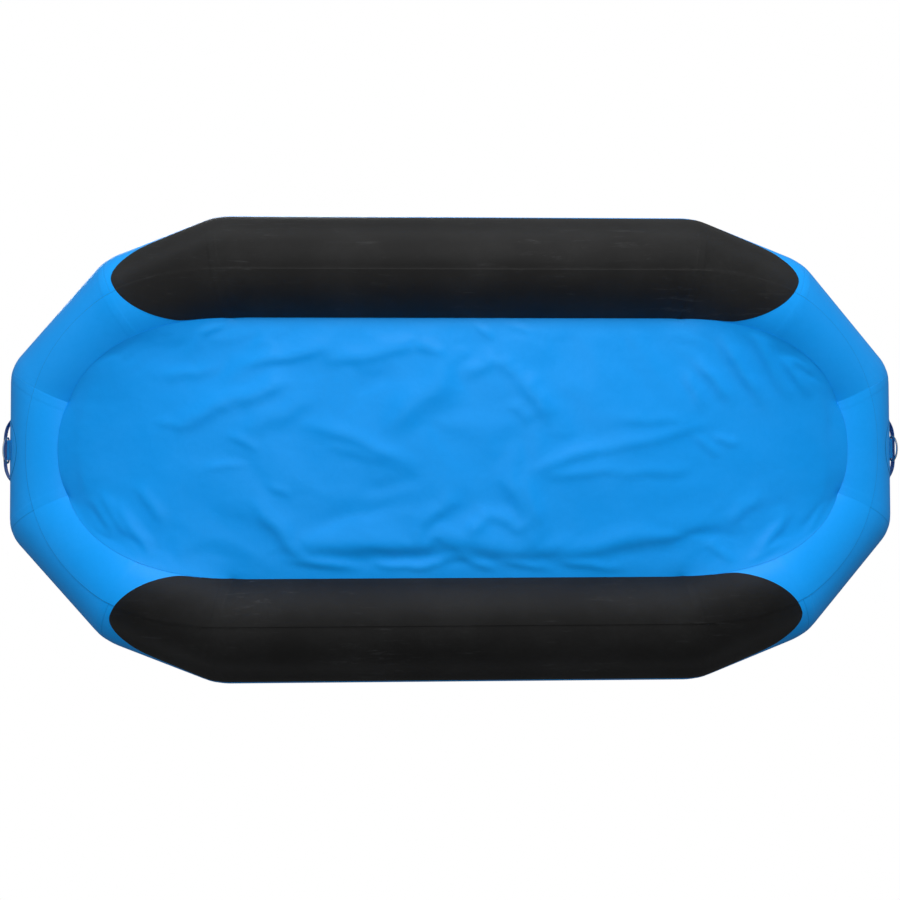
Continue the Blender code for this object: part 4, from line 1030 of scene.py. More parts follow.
    def split(self, outline, x):
        """The outline as four sides that meet near its ends."""
        count = len(outline)
        ends = []
        for sx, sy in ((1, 1), (-1, 1), (-1, -1), (1, -1)):
            ends.append(min(range(count), key=lambda n: (
                abs(outline[n].x - x * sx) if outline[n].y * sy > 0 else 9.0)))
        found = []
        for first, last in zip(ends, ends[1:] + ends[:1]):
            found.append([outline[n % count] for n in range(first, last + 1 if last > first else last + count + 1)])
        return found

    def fold(self, spot):
        """Height of the folds at a place, with a little unevenness."""
        total = sum(high * noise.noise(Vector((spot.x * fine, spot.y * fine * 1.4, fine)))
                    for high, fine in self.WAVES)
        for x0, y0, x1, y1, bow, rise, half in self.FOLDS:
            start, along = Vector((x0, y0)), Vector((x1 - x0, y1 - y0))
            share = (spot - start).dot(along) / along.length_squared
            off = along.normalized().cross(spot - start) - bow * 4 * share * (1 - share)
            half, rise = half * self.SPREAD[(off < 0) == (x1 > x0)], rise * self.LIFT
            if -0.2 < share < 1.2 and abs(off) < 4 * half:
                off += 0.5 * half * noise.noise(Vector((share * 3, x0 * 7, y0 * 7)))
                total += rise * ease((share + 0.2) / 0.5) * ease((1.2 - share) / 0.5) * math.exp(-((off / half) ** 2))
        return total

    def wrinkle(self, context, obj, inward):
        """Lets the slack sheet buckle between its fixed edges, and caps how far it moves."""
        frames, calm_rows = 24, 10
        sizes = context.scene.raft_sizes
        before = np.array([v.co for v in obj.data.vertices])
        cloth = obj.modifiers.new("Cloth", "CLOTH")
        for key, value in dict(
                quality=6, mass=0.25, air_damping=2.0, tension_stiffness=40.0, compression_stiffness=40.0,
                shear_stiffness=20.0, bending_stiffness=4.0, shrink_min=-sizes.floor_slack,
                vertex_group_mass="edge").items():
            setattr(cloth.settings, key, value)
        cloth.settings.effector_weights.gravity = 0.0
        cloth.collision_settings.use_collision = False
        cloth.collision_settings.use_self_collision = False
        cloth.point_cache.frame_start, cloth.point_cache.frame_end = 1, frames
        for number in range(1, frames + 1):
            context.scene.frame_set(number)
        graph = context.evaluated_depsgraph_get()
        after = np.array([v.co for v in obj.evaluated_get(graph).data.vertices])
        obj.modifiers.remove(cloth)
        move = after - before
        size = np.linalg.norm(move, axis=1, keepdims=True)
        cap = sizes.floor_fold
        move *= np.where(size > 1e-9, np.tanh(size / cap) * cap / np.maximum(size, 1e-9), 0.0)
        move *= np.clip(inward / calm_rows, 0, 1) ** 2
        for vert, co in zip(obj.data.vertices, before + move):
            vert.co = co
        context.scene.frame_set(1)

    def soften(self, obj):
        """Evens out the sheet's points with their neighbours, as one step of subdivision does, and adds none."""
        net = np.array([v.co for v in obj.data.vertices]).reshape(self.ROWS + 1, self.COLUMNS + 1, 3)
        inner = (net[:-2] + 6 * net[1:-1] + net[2:]) / 8
        net[1:-1, 1:-1] = (inner[:, :-2] + 6 * inner[:, 1:-1] + inner[:, 2:]) / 8
        for vert, co in zip(obj.data.vertices, net.reshape(-1, 3)):
            vert.co = co


class RAFT_OT_strip(bpy.types.Operator):
    """Model the strip that glues the floor's edge to the tube"""

    bl_idname = "raft.strip"
    bl_label = "Floor attachment strip"

    # Distances from a seam below which a column is split, and into how many
    SPLITS = ((0.012, 5), (0.050, 2))
    # How much wider the strip is on the tube than in plan, about
    WRAP = 1.2

    def execute(self, context):
        sizes = context.scene.raft_sizes
        inner = closed_oval(oval(**FLOOR_EDGE, count=150))
        outer = closed_oval(oval(**STRIP_EDGE, count=150))
        inner, outer = self.closer(inner, outer)
        count = len(inner)
        shares = [0.0, 0.004, 0.008, 0.016] + [0.03 + 0.94 * n / 12 for n in range(13)] + [0.984, 0.992, 0.996, 1.0]

        def place(column, row):
            share = shares[row]
            spot = inner[column % count].lerp(outer[column % count], share)
            run, point = under(spot.x, spot.y, RADIUS + GAP)
            skin, way = on_tube(run, point)
            width = (inner[column % count] - outer[column % count]).length * self.WRAP
            # The dark edge line, partly glue and partly painted shade, shows only at the strip's outer edge
            return skin, way, min(share, 1 - share) * width, float(share > 0.5)

        obj = layer("floor_strip_fabric", count, len(shares) - 1, place, sizes.strip_thickness, sizes.edge_ramp)
        finish(obj, FINISH["hull"], nodes=["floor_attachment_strip"])
        return {"FINISHED"}

    def closer(self, inner, outer):
        """Puts the columns closer together where the strip crosses a mitre seam."""
        found = ([], [])
        for index in range(len(inner)):
            ends = [(line[index], line[(index + 1) % len(line)]) for line in (inner, outer)]
            near = 1.0
            for share in (0.02, 0.35, 0.65, 0.98):
                spot = ends[0][0].lerp(ends[1][0], share)
                run, point = under(spot.x, spot.y, RADIUS + GAP)
                near = min(near, seam_distance(run, point))
            parts = next((parts for reach, parts in self.SPLITS if near < reach), 1)
            for (a, b), line in zip(ends, found):
                line += [a.lerp(b, part / parts) for part in range(parts)]
        return found


class RAFT_OT_wear_patches(bpy.types.Operator):
    """Model the black patches under the side tubes"""

    bl_idname = "raft.wear_patches"
    bl_label = "Wear patches"

    # The rounded end in plan, from the side's mitre: where its curves start, how long and how far out they are
    END_START, END_LENGTH, END_MIDDLE, END_STEPS = 0.100, 0.350, 0.100, 240
    # Inner and outer curve: width, roundness and the least distance along that is used
    END_CURVES = ((-0.282, 1.8, 0.158), (0.132, 1.95, 0.0))
    # The outer edge's angle from straight down, and the inner edge's distance from the floor's rim
    EDGE_ANGLE, RIM_GAP = 67.0, 0.0025
    # Over how much the edges are rounded where two of them meet, in metres and in radians
    INSIDE_ROUND, OUTSIDE_ROUND = 0.010, 0.10

    def execute(self, context):
        sizes = context.scene.raft_sizes
        outline = self.plan_edges()
        stations = self.stations(max(point.x for point in outline))
        spans = {x: self.span(x, outline) for x in sorted(set(map(abs, stations)))}
        # Rows across: closer together at both edges, and where the patch runs over the strip's edge
        shares = [0.0, 0.002, 0.004, 0.007, 0.012] + [0.012 + 0.976 * n / 56 for n in range(1, 57)]
        shares += [0.404, 0.408, 0.411, 0.413, 0.415, 0.417, 0.420, 0.425, 0.993, 0.996, 0.998, 1.0]
        shares.sort()
        rim = self.rim(spans)

        def place(column, row):
            x = abs(stations[column])
            low, high = spans[x]
            run, point = side_point(x, low + (high - low) * shares[row], RADIUS + GAP)
            over = ease((edge_width(STRIP_EDGE, x) - point.y) / STEP_WIDTH + 1)
            edge = rim.find(point - foot(run, point)[1] * GAP)[2]
            skin, way = on_tube(run, point)
            skin += way * (over * (sizes.strip_thickness + GAP))
            mirror = Vector((1 if stations[column] >= 0 else -1, 1, 1))
            return skin * mirror, way * mirror, edge

        port = layer(
            "port_wear_fabric", len(stations) - 1, len(shares) - 1, place, sizes.wear_thickness, sizes.edge_ramp)
        starboard = copied("starboard_wear_fabric", port, Matrix.Scale(-1, 4, (0, 1, 0)))
        for obj, side in ((port, "port"), (starboard, "starboard")):
            finish(obj, FINISH["wear"], nodes=[f"wear_patch_{side}"])
        return {"FINISHED"}

    def stations(self, apex):
        """Where the columns are along the raft: closer together towards the rounded ends."""
        plain, bent = 0.88, apex - 0.34
        found = [plain * n / 60 for n in range(60)] + [plain + (bent - plain) * n / 56 for n in range(56)]
        found += [bent + (apex - bent) * math.sin(math.pi / 2 * n / 66) for n in range(67)]
        return [-x for x in reversed(found[1:])] + found

    def rim(self, spans):
        """Points on the patch's outline, to measure from."""
        found = KDTree(4 * len(spans))
        for index, (x, span) in enumerate(spans.items()):
            for end, angle in enumerate(span):
                point = side_point(x, angle, RADIUS)[1]
                found.insert(point, 4 * index + end)
                found.insert(Vector((-point.x, point.y, point.z)), 4 * index + 2 + end)
        found.balance()
        return found

    def plan_edges(self):
        """The rounded end of the patch in plan: from its inner edge round the end to its outer edge."""
        along = -run_axis(4)
        along = Vector((along.x, along.y, 0.0)).normalized()
        outward = UP.cross(along)
        found = []
        for width, power, first in self.END_CURVES:
            edge = []
            for step in range(self.END_STEPS + 1):
                angle = math.pi / 2 * (1 - step / self.END_STEPS)
                reach = self.END_START + self.END_LENGTH * math.cos(angle) ** (2 / power)
                if reach < first:
                    continue
                aside = self.END_MIDDLE + width * math.sin(angle) ** (2 / power)
                place = CORNERS[5] + along * reach + outward * aside
                edge.append(Vector((place.x, place.y)))
            found.append(edge)
        return found[0] + found[1][::-1]

    def span(self, x, outline):
        """The angles between which the patch lies at a station."""
        inside, outside = edge_width(FLOOR_EDGE, x) + self.RIM_GAP, math.inf
        if x > outline[0].x:
            levels = []
            for a, b in zip(outline, outline[1:]):
                if min(a.x, b.x) <= x <= max(a.x, b.x) and a.x != b.x:
                    levels.append(a.y + (b.y - a.y) * (x - a.x) / (b.x - a.x))
            inside = -self.lesser(-inside, -min(levels), self.INSIDE_ROUND)
            outside = max(levels) if x > outline[-1].x else math.inf
        top = SIDE_Z - RADIUS * math.cos(math.radians(self.EDGE_ANGLE))
        low = self.solve(x, lambda p: p.y - inside)
        sides = self.solve(x, lambda p: p.y - outside), self.solve(x, lambda p: p.z - top)
        return low, max(low, self.lesser(*sides, self.OUTSIDE_ROUND))

    def lesser(self, a, b, reach):
        """The lesser of two values, rounded off where they are close."""
        near = max(0.0, 1 - abs(a - b) / reach)
        return min(a, b) - near * near * reach / 4

    def solve(self, x, rule):
        low, high = -1.55, 1.50
        for _ in range(34):
            middle = (low + high) / 2
            if rule(side_point(x, middle, RADIUS)[1]) < 0:
                low = middle
            else:
                high = middle
        return (low + high) / 2


class RAFT_OT_thwarts(bpy.types.Operator):
    """Model the two inflated cross tubes with their glued collars"""

    bl_idname = "raft.thwarts"
    bl_label = "Thwarts"

    # How far out along Y the puckers begin, and over how much they come in
    PUCKER_START, PUCKER_RISE = 0.34, 0.14

    def execute(self, context):
        tube = self.make_tube()
        collar = self.make_collar()
        for name, station in THWARTS.items():
            shift = Matrix.Translation((station, 0.0, 0.0))
            body = copied(f"{name}_fabric", tube, shift)
            cut_valve_hole(body, name)
            finish(smooth(body, 50), FINISH["hull"], nodes=[name])
            for label, sign in (("port", 1), ("starboard", -1)):
                place = shift @ Matrix.Scale(sign, 4, (0, 1, 0))
                piece = copied(f"{name}_collar_{label}", collar, place)
                finish(piece, FINISH["hull"])
        remove(tube, collar)
        return {"FINISHED"}

    def around(self, column, radius):
        """A place round the thwart, from its underside: X and height from its centre."""
        angle = 2 * math.pi * column / TUBE_SIDES
        return radius * math.sin(angle), -radius * math.cos(angle)

    def seat(self, z, radius):
        """How far out along Y a side tube's skin is, at a height from the thwart's centre."""
        return SIDE_Y - math.sqrt(radius * radius - (z + THWART_RISE) ** 2)

    def make_tube(self):
        steps = [1.0, 0.985, 0.96, 0.93, 0.89] + [0.84 * (1 - n / 8) for n in range(9)]
        steps += [-s for s in reversed(steps[:-1])]

        def place(column, row):
            x, z = self.around(column, THWART_RADIUS)
            return Vector((x, self.seat(z, RADIUS + FABRIC) * steps[row], THWART_Z + z))

        obj = laid_grid("thwart_pattern", TUBE_SIDES, len(steps) - 1, place)
        merge(obj)
        outward_shell(obj, Vector((0.0, 0.0, THWART_Z)))
        seams = obj.data.attributes.new("seam", "FLOAT", "POINT")
        for vert, item in zip(obj.data.vertices, seams.data):
            item.value = ease((abs(vert.co.y) - self.PUCKER_START) / self.PUCKER_RISE)
        return apply(obj, "SOLIDIFY", thickness=FABRIC, offset=-1.0)

    def make_collar(self):
        """A cuff on the thwart and a flange on the side tube, in one piece."""
        radius, cuff_width = THWART_RADIUS + GAP, 0.050
        cuff = [0.0, 0.03, 0.07, 0.14, 0.4, 0.7, 0.93, 1.0]
        flange = [0.002, 0.006, 0.012, 0.017, 0.0195, 0.0208, 0.022]
        start = SIDE_Y - RADIUS - cuff_width
        rows = len(cuff) + len(flange) - 1

        def place(column, row):
            if row < len(cuff):
                x, z = self.around(column, radius)
                end = self.seat(z, RADIUS + GAP)
                y = start + (end - 0.0015 - start) * cuff[row]
                lean = cuff[row] ** 8 * 0.5
                normal = Vector((x, 0.0, z)).normalized().lerp(Vector((0.0, -1.0, 0.0)), lean).normalized()
                return Vector((x, y, THWART_Z + z)), normal, (y - start)
            x, z = self.around(column, radius + flange[row - len(cuff)])
            point = Vector((x, self.seat(z, RADIUS + GAP), THWART_Z + z))
            normal = (point - Vector((x, SIDE_Y, SIDE_Z))).normalized()
            return point, normal, flange[-1] - flange[row - len(cuff)]

        return layer("collar_pattern", TUBE_SIDES, rows, place, COLLAR_FABRIC, PATCH_BEVEL)


class RAFT_OT_handles(bpy.types.Operator):
    """Model the webbing carry handles at bow and stern, with their stitching"""

    bl_idname = "raft.handles"
    bl_label = "Carry handles"

    # Half length, half of the free part, width, how far it bows out, and how its middle sits and swells
    HALF, FREE, WIDTH, BOW, SEATED, SWELL = 0.185, 0.140, 0.038, 0.035, 0.00175, 0.0006

    def execute(self, context):
        bow = self.make_strap()
        thread = self.make_stitches()
        for name, sign in (("stern", -1), ("bow", 1)):
            turn = Matrix.Scale(sign, 4, (1, 0, 0))
            strap = copied(f"{name}_handle_webbing", bow, turn)
            finish(strap, FINISH["webbing"], nodes=[f"{name}_carry_handle"])
            finish(copied(f"{name}_handle_stitches", thread, turn), FINISH["thread"])
        remove(bow, thread)
        return {"FINISHED"}

    def line(self, y):
        """How far out of the tube the strap's middle is at a place along it."""
        bow = self.BOW * max(0.0, 1.0 - abs(y / self.FREE) ** 4)
        return NOSE_X + RADIUS * TUBE_FLAT + GAP + self.SEATED + bow

    def make_strap(self):
        columns, rows = 150, 12

        def place(column, row):
            y = -self.HALF + 2 * self.HALF * column / columns
            z = self.WIDTH / 2 * (-1 + 2 * row / rows)
            swell = self.SWELL * math.cos(math.pi * z / self.WIDTH)
            return Vector((self.line(y) + swell, y, NOSE_Z + z))

        obj = laid_grid("strap_pattern", columns, rows, place)
        return webbing(
            obj, Vector((0.0, 0.0, NOSE_Z)), 2 * self.HALF, self.WIDTH, thickness=0.0031, rounding=0.0011, segments=3)

    def make_stitches(self):
        return stitches("handle_thread", near=0.146, far=0.181, half=0.0155, pitch=0.0042, surface=lambda p: (
            Vector((self.line(p.x) + 0.0023, p.x, NOSE_Z + p.y)), Vector((1.0, 0.0, 0.0))))


def webbing(obj, centre, length, width, thickness, rounding, segments):
    """Gives a laid strap its thickness and soft edges, and a pattern in metres along and across it."""
    for item in obj.data.uv_layers[0].data:
        item.uv = (item.uv.x * length, item.uv.y * width)
    outward_shell(obj, centre)
    apply(obj, "SOLIDIFY", thickness=thickness, offset=0.0)
    apply(obj, "BEVEL", width=rounding, segments=segments, angle_limit=math.radians(60))
    return smooth(obj, 50)


THREAD_RADIUS = 0.0005


def stitches(name, near, far, half, pitch, surface):
    """Boxed crosses of thread on both ends of a strap, each stitch a short hump copied onto a surface.
    near and far are places along the strap, half is a place across it."""
    deselect()
    bpy.ops.mesh.primitive_uv_sphere_add(segments=8, ring_count=6, radius=1.0)
    bead = settle(bpy.context.object)
    pieces = []
    box = (((0, -1), (1, -1)), ((0, 1), (1, 1)), ((0, -1), (0, 1)), ((1, -1), (1, 1)), ((0, -1), (1, 1)),
           ((0, 1), (1, -1)))
    for side in (-1, 1):
        for row in box:
            start, end = (Vector(((near, far)[along] * side, half * across)) for along, across in row)
            count = max(3, round((end - start).length / pitch))
            for step in range(count):
                ends = [start.lerp(end, (step + share) / count) for share in (0.2, 0.8)]
                along = surface(ends[1])[0] - surface(ends[0])[0]
                middle, normal = surface((ends[0] + ends[1]) / 2)
                turn = Matrix((along.normalized(), normal.cross(along).normalized(), normal)).transposed().to_4x4()
                size = Matrix.Diagonal((along.length / 2, THREAD_RADIUS, THREAD_RADIUS, 1.0))
                pieces.append(copied("stitch", bead, Matrix.Translation(middle) @ turn @ size))
    remove(bead)
    return smooth(join(name, pieces), 80)


# In the frame: top of a patch above the tube, of a sleeve above the patch, and the bar's clearance in its sleeve
PATCH_TOP, SLEEVE_TOP, BAR_GAP = 0.0015, 0.0025, 0.0005
# Sizes of an end anchor and of a side anchor
END_RING = dict(patch=0.135, sleeve=0.088, tab=0.150, wire=0.008, width=0.110, depth=0.066)
SIDE_RING = dict(patch=0.075, sleeve=0.048, tab=0.100, wire=0.006, width=0.070, depth=0.050)
# Their angles from straight down, outwards, and the stations of the side anchors
END_ANGLE, SIDE_ANGLE, SIDE_STATIONS = math.radians(77.0), math.radians(140.0), {"aft": -0.560, "fore": 0.560}


def bar_reach(size):
    """How far out the middle of a ring's bar is from its tube's centre line."""
    return RADIUS + PATCH_TOP + SLEEVE_TOP + size["wire"] / 2 + BAR_GAP


def anchor_frames():
    """Where the D-rings sit: ring's body, patch's node, centre line, way out, way along the bar, and sizes."""
    found = []
    for name, sign in (("bow", 1), ("stern", -1)):
        out = Vector((math.sin(END_ANGLE) * sign, 0.0, -math.cos(END_ANGLE)))
        found.append((f"{name}_d_ring", f"{name}_end_patch", Vector((NOSE_X * sign, 0.0, NOSE_Z)), out,
                      Vector((0.0, sign, 0.0)), END_RING))
    for name, sign in (("port", 1), ("starboard", -1)):
        out = Vector((0.0, math.sin(SIDE_ANGLE) * sign, -math.cos(SIDE_ANGLE)))
        for label, x in SIDE_STATIONS.items():
            found.append((f"{name}_d_ring_{label}", f"{name}_patch_{label}",
                          Vector((x, SIDE_Y * sign, SIDE_Z)), out, Vector((-sign, 0.0, 0.0)), SIDE_RING))
    return found


class RAFT_OT_anchors(bpy.types.Operator):
    """Model the round patches and the webbing sleeves that hold the D-rings"""

    bl_idname = "raft.anchors"
    bl_label = "Patches and sleeves"

    def execute(self, context):
        for _, patch, origin, out, along, size in anchor_frames():
            over = out.cross(along)

            def wrap(s, arc, radius):
                angle = arc / RADIUS
                away = out * math.cos(angle) + over * math.sin(angle)
                return origin + along * s + away * radius, away

            self.make_patch(patch, wrap, size["patch"])
            self.make_sleeve(patch, origin, wrap, size)
        return {"FINISHED"}

    def make_patch(self, name, wrap, radius):
        steps, sides = (0.0012, 0.003, 0.006, 0.02, 0.045, 0.08), 72
        sizes = [radius] + [radius - step for step in steps if radius - step > 0.02] + [0.012, 0.0]

        def place(column, row):
            angle = 2 * math.pi * column / sides
            reach = sizes[row]
            point, out = wrap(reach * math.cos(angle), reach * math.sin(angle), RADIUS + GAP)
            return point, out, radius - reach

        obj = layer(f"{name}_fabric", sides, len(sizes) - 1, place, PATCH_FABRIC, PATCH_BEVEL)
        finish(obj, FINISH["hull"], nodes=[name])

    def make_sleeve(self, name, origin, wrap, size):
        """Webbing glued down on both sides, that runs over the ring's bar in between."""
        half_tab, bar = size["tab"] / 2, bar_reach(size)
        stitch_inset = 0.004
        round_bar = size["wire"] / 2 + BAR_GAP + SLEEVE_TOP / 2
        lap = RADIUS + PATCH_TOP + 0.0010
        columns, rows, width = 96, 10, size["sleeve"] - 2 * GAP

        def line(arc):
            """The sleeve's middle, from one glued end over the bar to the other."""
            height = lap + (bar + round_bar - lap) * ease((0.030 - abs(arc)) / 0.026)
            if abs(arc) < round_bar:
                height = max(height, bar + math.sqrt(round_bar**2 - arc**2))
            return height

        def place(column, row):
            share = -1 + 2 * column / columns
            arc = half_tab * (0.35 * share + 0.65 * share**3)
            return wrap(width * (-0.5 + row / rows), arc, line(arc))[0]

        obj = laid_grid(f"{name}_sleeve", columns, rows, place)
        webbing(obj, origin, size["tab"], width, thickness=0.0019, rounding=0.0008, segments=2)
        finish(obj, FINISH["sleeve"])
        thread = stitches(
            f"{name}_stitches", near=0.034, far=half_tab - stitch_inset, half=width / 2 - stitch_inset, pitch=0.0045,
            surface=lambda p: wrap(p.y, p.x, line(p.x) + 0.0010))
        finish(thread, FINISH["thread"])


class RAFT_OT_d_rings(bpy.types.Operator):
    """Model the bent and welded steel D-rings"""

    bl_idname = "raft.d_rings"
    bl_label = "D-rings"

    def execute(self, context):
        for ring, _, origin, out, along, size in anchor_frames():
            bar, depth = bar_reach(size), size["depth"]
            place = Matrix.Translation(origin + out * bar)
            if size is END_RING:
                out = Vector((math.copysign(1.0, out.x), 0.0, 0.0))
            matrix = place @ Matrix((out, along, out.cross(along))).transposed().to_4x4()
            if size is SIDE_RING:
                tip = bar + 0.0010
                lean = (bar**2 + depth**2 - tip**2) / (2 * bar * depth)
                matrix = matrix @ Matrix.Rotation(math.asin(lean), 4, "Y")
            obj = self.make_ring(ring, size, matrix)
            finish(obj, FINISH["steel"], body=ring, nodes=[ring])
        return {"FINISHED"}

    def make_ring(self, name, size, matrix):
        half, radius, depth = size["width"] / 2, 0.010, size["depth"]
        turns = [math.pi / 2 * step / 8 for step in range(9)]
        bend = [(half - radius + radius * math.sin(turn), -radius + radius * math.cos(turn)) for turn in turns]
        turns = [math.pi * step / 40 for step in range(1, 40)]
        bow = [(half * math.cos(turn), -radius - (depth - radius) * math.sin(turn)) for turn in turns]
        bar = [((half - radius) * (-1 + 2 * n / 12), 0.0) for n in range(1, 12)]
        points = bend + bow + [(-y, z) for y, z in reversed(bend)] + bar
        count, sides = len(points), 20

        def place(column, row):
            y, z = points[column % count]
            before, after = points[(column - 1) % count], points[(column + 1) % count]
            along = Vector((0.0, after[0] - before[0], after[1] - before[1])).normalized()
            side = Vector((1.0, 0.0, 0.0)).cross(along)
            angle = 2 * math.pi * row / sides
            weld = 1 + 0.10 * math.exp(-((y - half * 0.55) / 0.0022) ** 2) * (abs(z) < 0.001)
            out = Vector((1.0, 0.0, 0.0)) * math.cos(angle) + side * math.sin(angle)
            return matrix @ (Vector((0.0, y, z)) + out * (size["wire"] / 2 * weld))

        return smooth(merge(laid_grid(f"{name}_steel", count, sides, place)), 80)


class RAFT_OT_valves(bpy.types.Operator):
    """Model an inflation valve on each chamber by turning and moulding its parts"""

    bl_idname = "raft.valves"
    bl_label = "Valves"

    # Turned profiles in millimetres: radius and height from the tube's crown
    BODY = (
        (18.5, 4.0), (20.0, 4.1), (28.5, 3.6), (30.0, 3.0), (30.8, 2.2), (31.0, 1.2), (31.0, -4.0), (23.1, -4.0),
        (23.0, -12.0), (23.0, -29.5), (22.5, -30.0), (16.0, -30.0), (15.5, -29.5), (15.5, -23.0), (12.5, -23.0),
        (12.5, -20.0), (17.5, -20.0), (17.5, 3.0), (17.8, 3.6))
    HUB = (
        (6.2, -22.8), (6.2, -20.2), (5.8, -20.0), (2.9, -20.0), (2.7, -20.2), (2.7, -22.8), (2.9, -23.0), (5.8, -23.0))
    POPPET = (
        (0.6, -2.6), (4.0, -2.4), (6.2, -2.0), (7.4, -2.0), (7.9, -2.3), (8.0, -2.8), (8.0, -5.6), (7.7, -6.0),
        (2.3, -6.0), (2.3, -23.3), (13.6, -23.3), (14.0, -23.6), (14.0, -26.0), (13.6, -26.3), (0.6, -26.3))
    CAP = (
        (0.6, 6.9), (12.0, 6.9), (14.0, 7.0), (15.0, 7.6), (22.2, 7.6), (23.2, 7.3), (23.8, 6.8), (24.0, 6.2),
        (24.0, 4.6), (23.8, 4.3), (16.2, 4.3), (16.2, -0.4), (16.0, -0.7), (14.6, -0.7), (14.4, -0.4), (14.4, 4.8),
        (0.6, 4.8))
    NUT = ((23.4, -1.0), (31.0, -1.0), (31.0, -8.2), (30.2, -9.0), (24.0, -9.0), (23.4, -8.6))
    # Heights of the flange's and the nut's faces that lie on the tube, and how far from its skin they end
    FLANGE_SEAT, NUT_SEAT = (-0.004, 0.0004), (-0.001, -0.0016)
    HINGE = Vector((-0.027, 0.0, 0.0066))
    GRIPS, GRIP_DEPTH = 36, 0.012
    POPPET_TRAVEL = 0.005

    def execute(self, context):
        for name, centre in VALVES.items():
            on_thwart, place = name.startswith("thwart"), valve_crown(name)
            long = Vector((0, 1, 0)) if on_thwart or name in ("bow", "stern") else Vector((1, 0, 0))
            tube = UP.cross(long), THWART_RADIUS if on_thwart else RADIUS, centre.z - place.z
            self.make_body(name, place, tube)
            self.make_poppet(name, place)
            self.make_spring(name, place)
            self.make_cap(name, place)
            self.make_nut(name, place, tube)
        return {"FINISHED"}

    def turned(self, name, profile, sides=64, close=False):
        """Turns a profile by extruding and widening a circle step by step, then closes it into a ring or fills it."""
        deselect()
        (radius, height), *rest = [(wide / 1000, high / 1000) for wide, high in profile]
        bpy.ops.mesh.primitive_circle_add(vertices=sides, radius=radius, location=(0, 0, height))
        obj = settle(bpy.context.object)
        obj.name = obj.data.name = name
        with editing(obj):
            for wide, high in rest:
                bpy.ops.mesh.extrude_region_move(TRANSFORM_OT_translate={"value": (0, 0, high - height)})
                bpy.ops.transform.resize(value=(wide / radius, wide / radius, 1), center_override=(0, 0, high))
                radius, height = wide, high
        with editing(obj, "DESELECT"):
            bpy.ops.mesh.select_non_manifold()
            if close:
                bpy.ops.mesh.bridge_edge_loops()
            else:
                bpy.ops.mesh.fill_holes(sides=sides)
        return merge(obj)

    def conform(self, obj, tube, seat):
        """Drops the face of a turned piece that lies at a height onto its tube."""
        (across, radius, centre), (level, depth) = tube, seat
        for vert in obj.data.vertices:
            if abs(vert.co.z - level) < 0.00005:
                off = vert.co.dot(across)
                vert.co.z = centre + math.sqrt(max(0.0, radius * radius - off * off)) + depth
        return obj

    def put(self, name, part, objs, place, look="valve", body="root"):
        """Joins a valve's piece, puts it in its place and finishes it."""
        obj = join(f"valve_{name}_{part}_moulding", objs)
        obj.data.transform(Matrix.Translation(place))
        finish(smooth(obj, 35), FINISH[look], body, [f"valve_{name}_{part}"])

    def make_body(self, name, place, tube):
        """The flanged cup with its spider's arms and hub, and the cap's hinge."""
        parts = [self.conform(self.turned(f"{name}_body", self.BODY, close=True), tube, self.FLANGE_SEAT)]
        for arm in range(3):
            web = block((0.0095, 0, -0.0215), (0.009, 0.003, 0.0026), 0.0004, 2)
            web.data.transform(Matrix.Rotation(2 * math.pi * arm / 3, 4, "Z"))
            parts.append(web)
        parts.append(self.turned("hub", self.HUB, 32, close=True))
        parts += [block((self.HINGE.x, 0.0058 * side, 0.0048), (0.0044, 0.0028, 0.0042), 0.0012, 3) for side in (-1, 1)]
        parts.append(rod(self.HINGE, 0.0010, 0.0125, 20, 0.0002))
        self.put(name, "body", parts, place)

    def make_poppet(self, name, place):
        obj = self.turned("poppet", self.POPPET, 48)
        self.put(name, "poppet", [obj], place, "button", f"valve_{name}_poppet")

    def make_spring(self, name, place):
        low, high, wire, coil, turns = -0.0199, -0.0063, 0.0005, 0.0045, 3
        start, climb = low + wire, high - low - 2 * wire
        count, sides = 96, 10

        def point(share):
            angle = 2 * math.pi * turns * share
            return Vector((coil * math.cos(angle), coil * math.sin(angle), start + climb * share))

        def spot(column, row):
            share = column / count
            along = (point(share + 0.001) - point(share - 0.001)).normalized()
            out = Vector((point(share).x, point(share).y, 0.0)).normalized()
            side = along.cross(out)
            angle = 2 * math.pi * row / sides
            end = 0.0 if column in (0, count) else 1.0
            return place + point(share) + (out * math.cos(angle) + side * math.sin(angle)) * wire * end

        obj = merge(laid_grid(f"valve_{name}_spring_wire", count, sides, spot))
        finish(smooth(obj, 80), FINISH["wire"], nodes=[f"valve_{name}_spring"])
        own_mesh(obj)

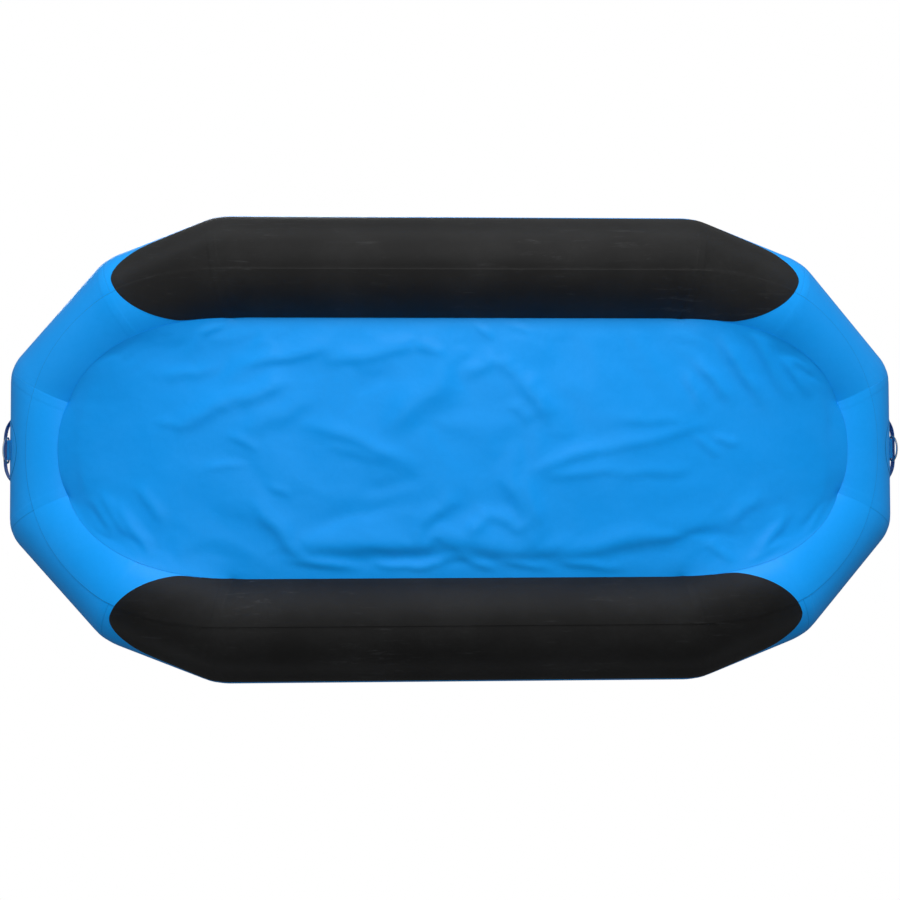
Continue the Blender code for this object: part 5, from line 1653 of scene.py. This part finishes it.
    def make_cap(self, name, place):
        """The cap with grips round its rim, its plug, hinge knuckle, lug and thumb tab."""
        obj = self.turned(f"{name}_cap", self.CAP, 72)
        for vert in obj.data.vertices:
            if math.hypot(vert.co.x, vert.co.y) > 0.0236 and 0.0044 < vert.co.z < 0.0070:
                angle = math.atan2(vert.co.y, vert.co.x)
                scale = 1 - self.GRIP_DEPTH * (0.5 + 0.5 * math.cos(self.GRIPS * angle))
                vert.co.x, vert.co.y = vert.co.x * scale, vert.co.y * scale
        knuckle = rod(self.HINGE, 0.0022, 0.0078, 28, 0.0003)
        lug = block((-0.0245, 0, 0.0061), (0.0045, 0.0074, 0.0024), 0.0004, 2)
        tab = block((0.0240, 0, 0.0059), (0.0050, 0.0100, 0.0020), 0.0009, 3)
        self.put(name, "cap", [obj, knuckle, lug, tab], place, body=f"valve_{name}_cap")

    def make_nut(self, name, place, tube):
        obj = self.conform(self.turned("nut", self.NUT, 48, close=True), tube, self.NUT_SEAT)
        self.put(name, "nut", [obj], place)


class RAFT_PT_panel(bpy.types.Panel):
    """Lists the raft's steps, sizes and colours"""

    bl_idname = "RAFT_PT_panel"
    bl_label = "Whitewater raft"
    bl_space_type = "VIEW_3D"
    bl_region_type = "UI"
    bl_category = "Raft"

    def draw(self, context):
        column = self.layout.column(align=True)
        for operator in STEPS:
            column.operator(operator.bl_idname)
        for group in (context.scene.raft_sizes, context.scene.raft_colours):
            column = self.layout.column()
            for key in group.__annotations__:
                column.prop(group, key)


STEPS = (
    RAFT_OT_stage, RAFT_OT_materials, RAFT_OT_chambers, RAFT_OT_baffles, RAFT_OT_floor, RAFT_OT_strip,
    RAFT_OT_wear_patches, RAFT_OT_thwarts, RAFT_OT_handles, RAFT_OT_anchors, RAFT_OT_d_rings, RAFT_OT_valves,
)
CLASSES = (RaftSizes, RaftColours, *STEPS, RAFT_PT_panel)


def register():
    for item in CLASSES:
        bpy.utils.register_class(item)
    bpy.types.Scene.raft_sizes = PointerProperty(type=RaftSizes)
    bpy.types.Scene.raft_colours = PointerProperty(type=RaftColours)


def unregister():
    del bpy.types.Scene.raft_sizes
    del bpy.types.Scene.raft_colours
    for item in reversed(CLASSES):
        bpy.utils.unregister_class(item)


def main():
    register()
    for step in STEPS:
        getattr(bpy.ops.raft, step.bl_idname.partition(".")[2])()
    deselect()


if __name__ == "__main__":
    main()
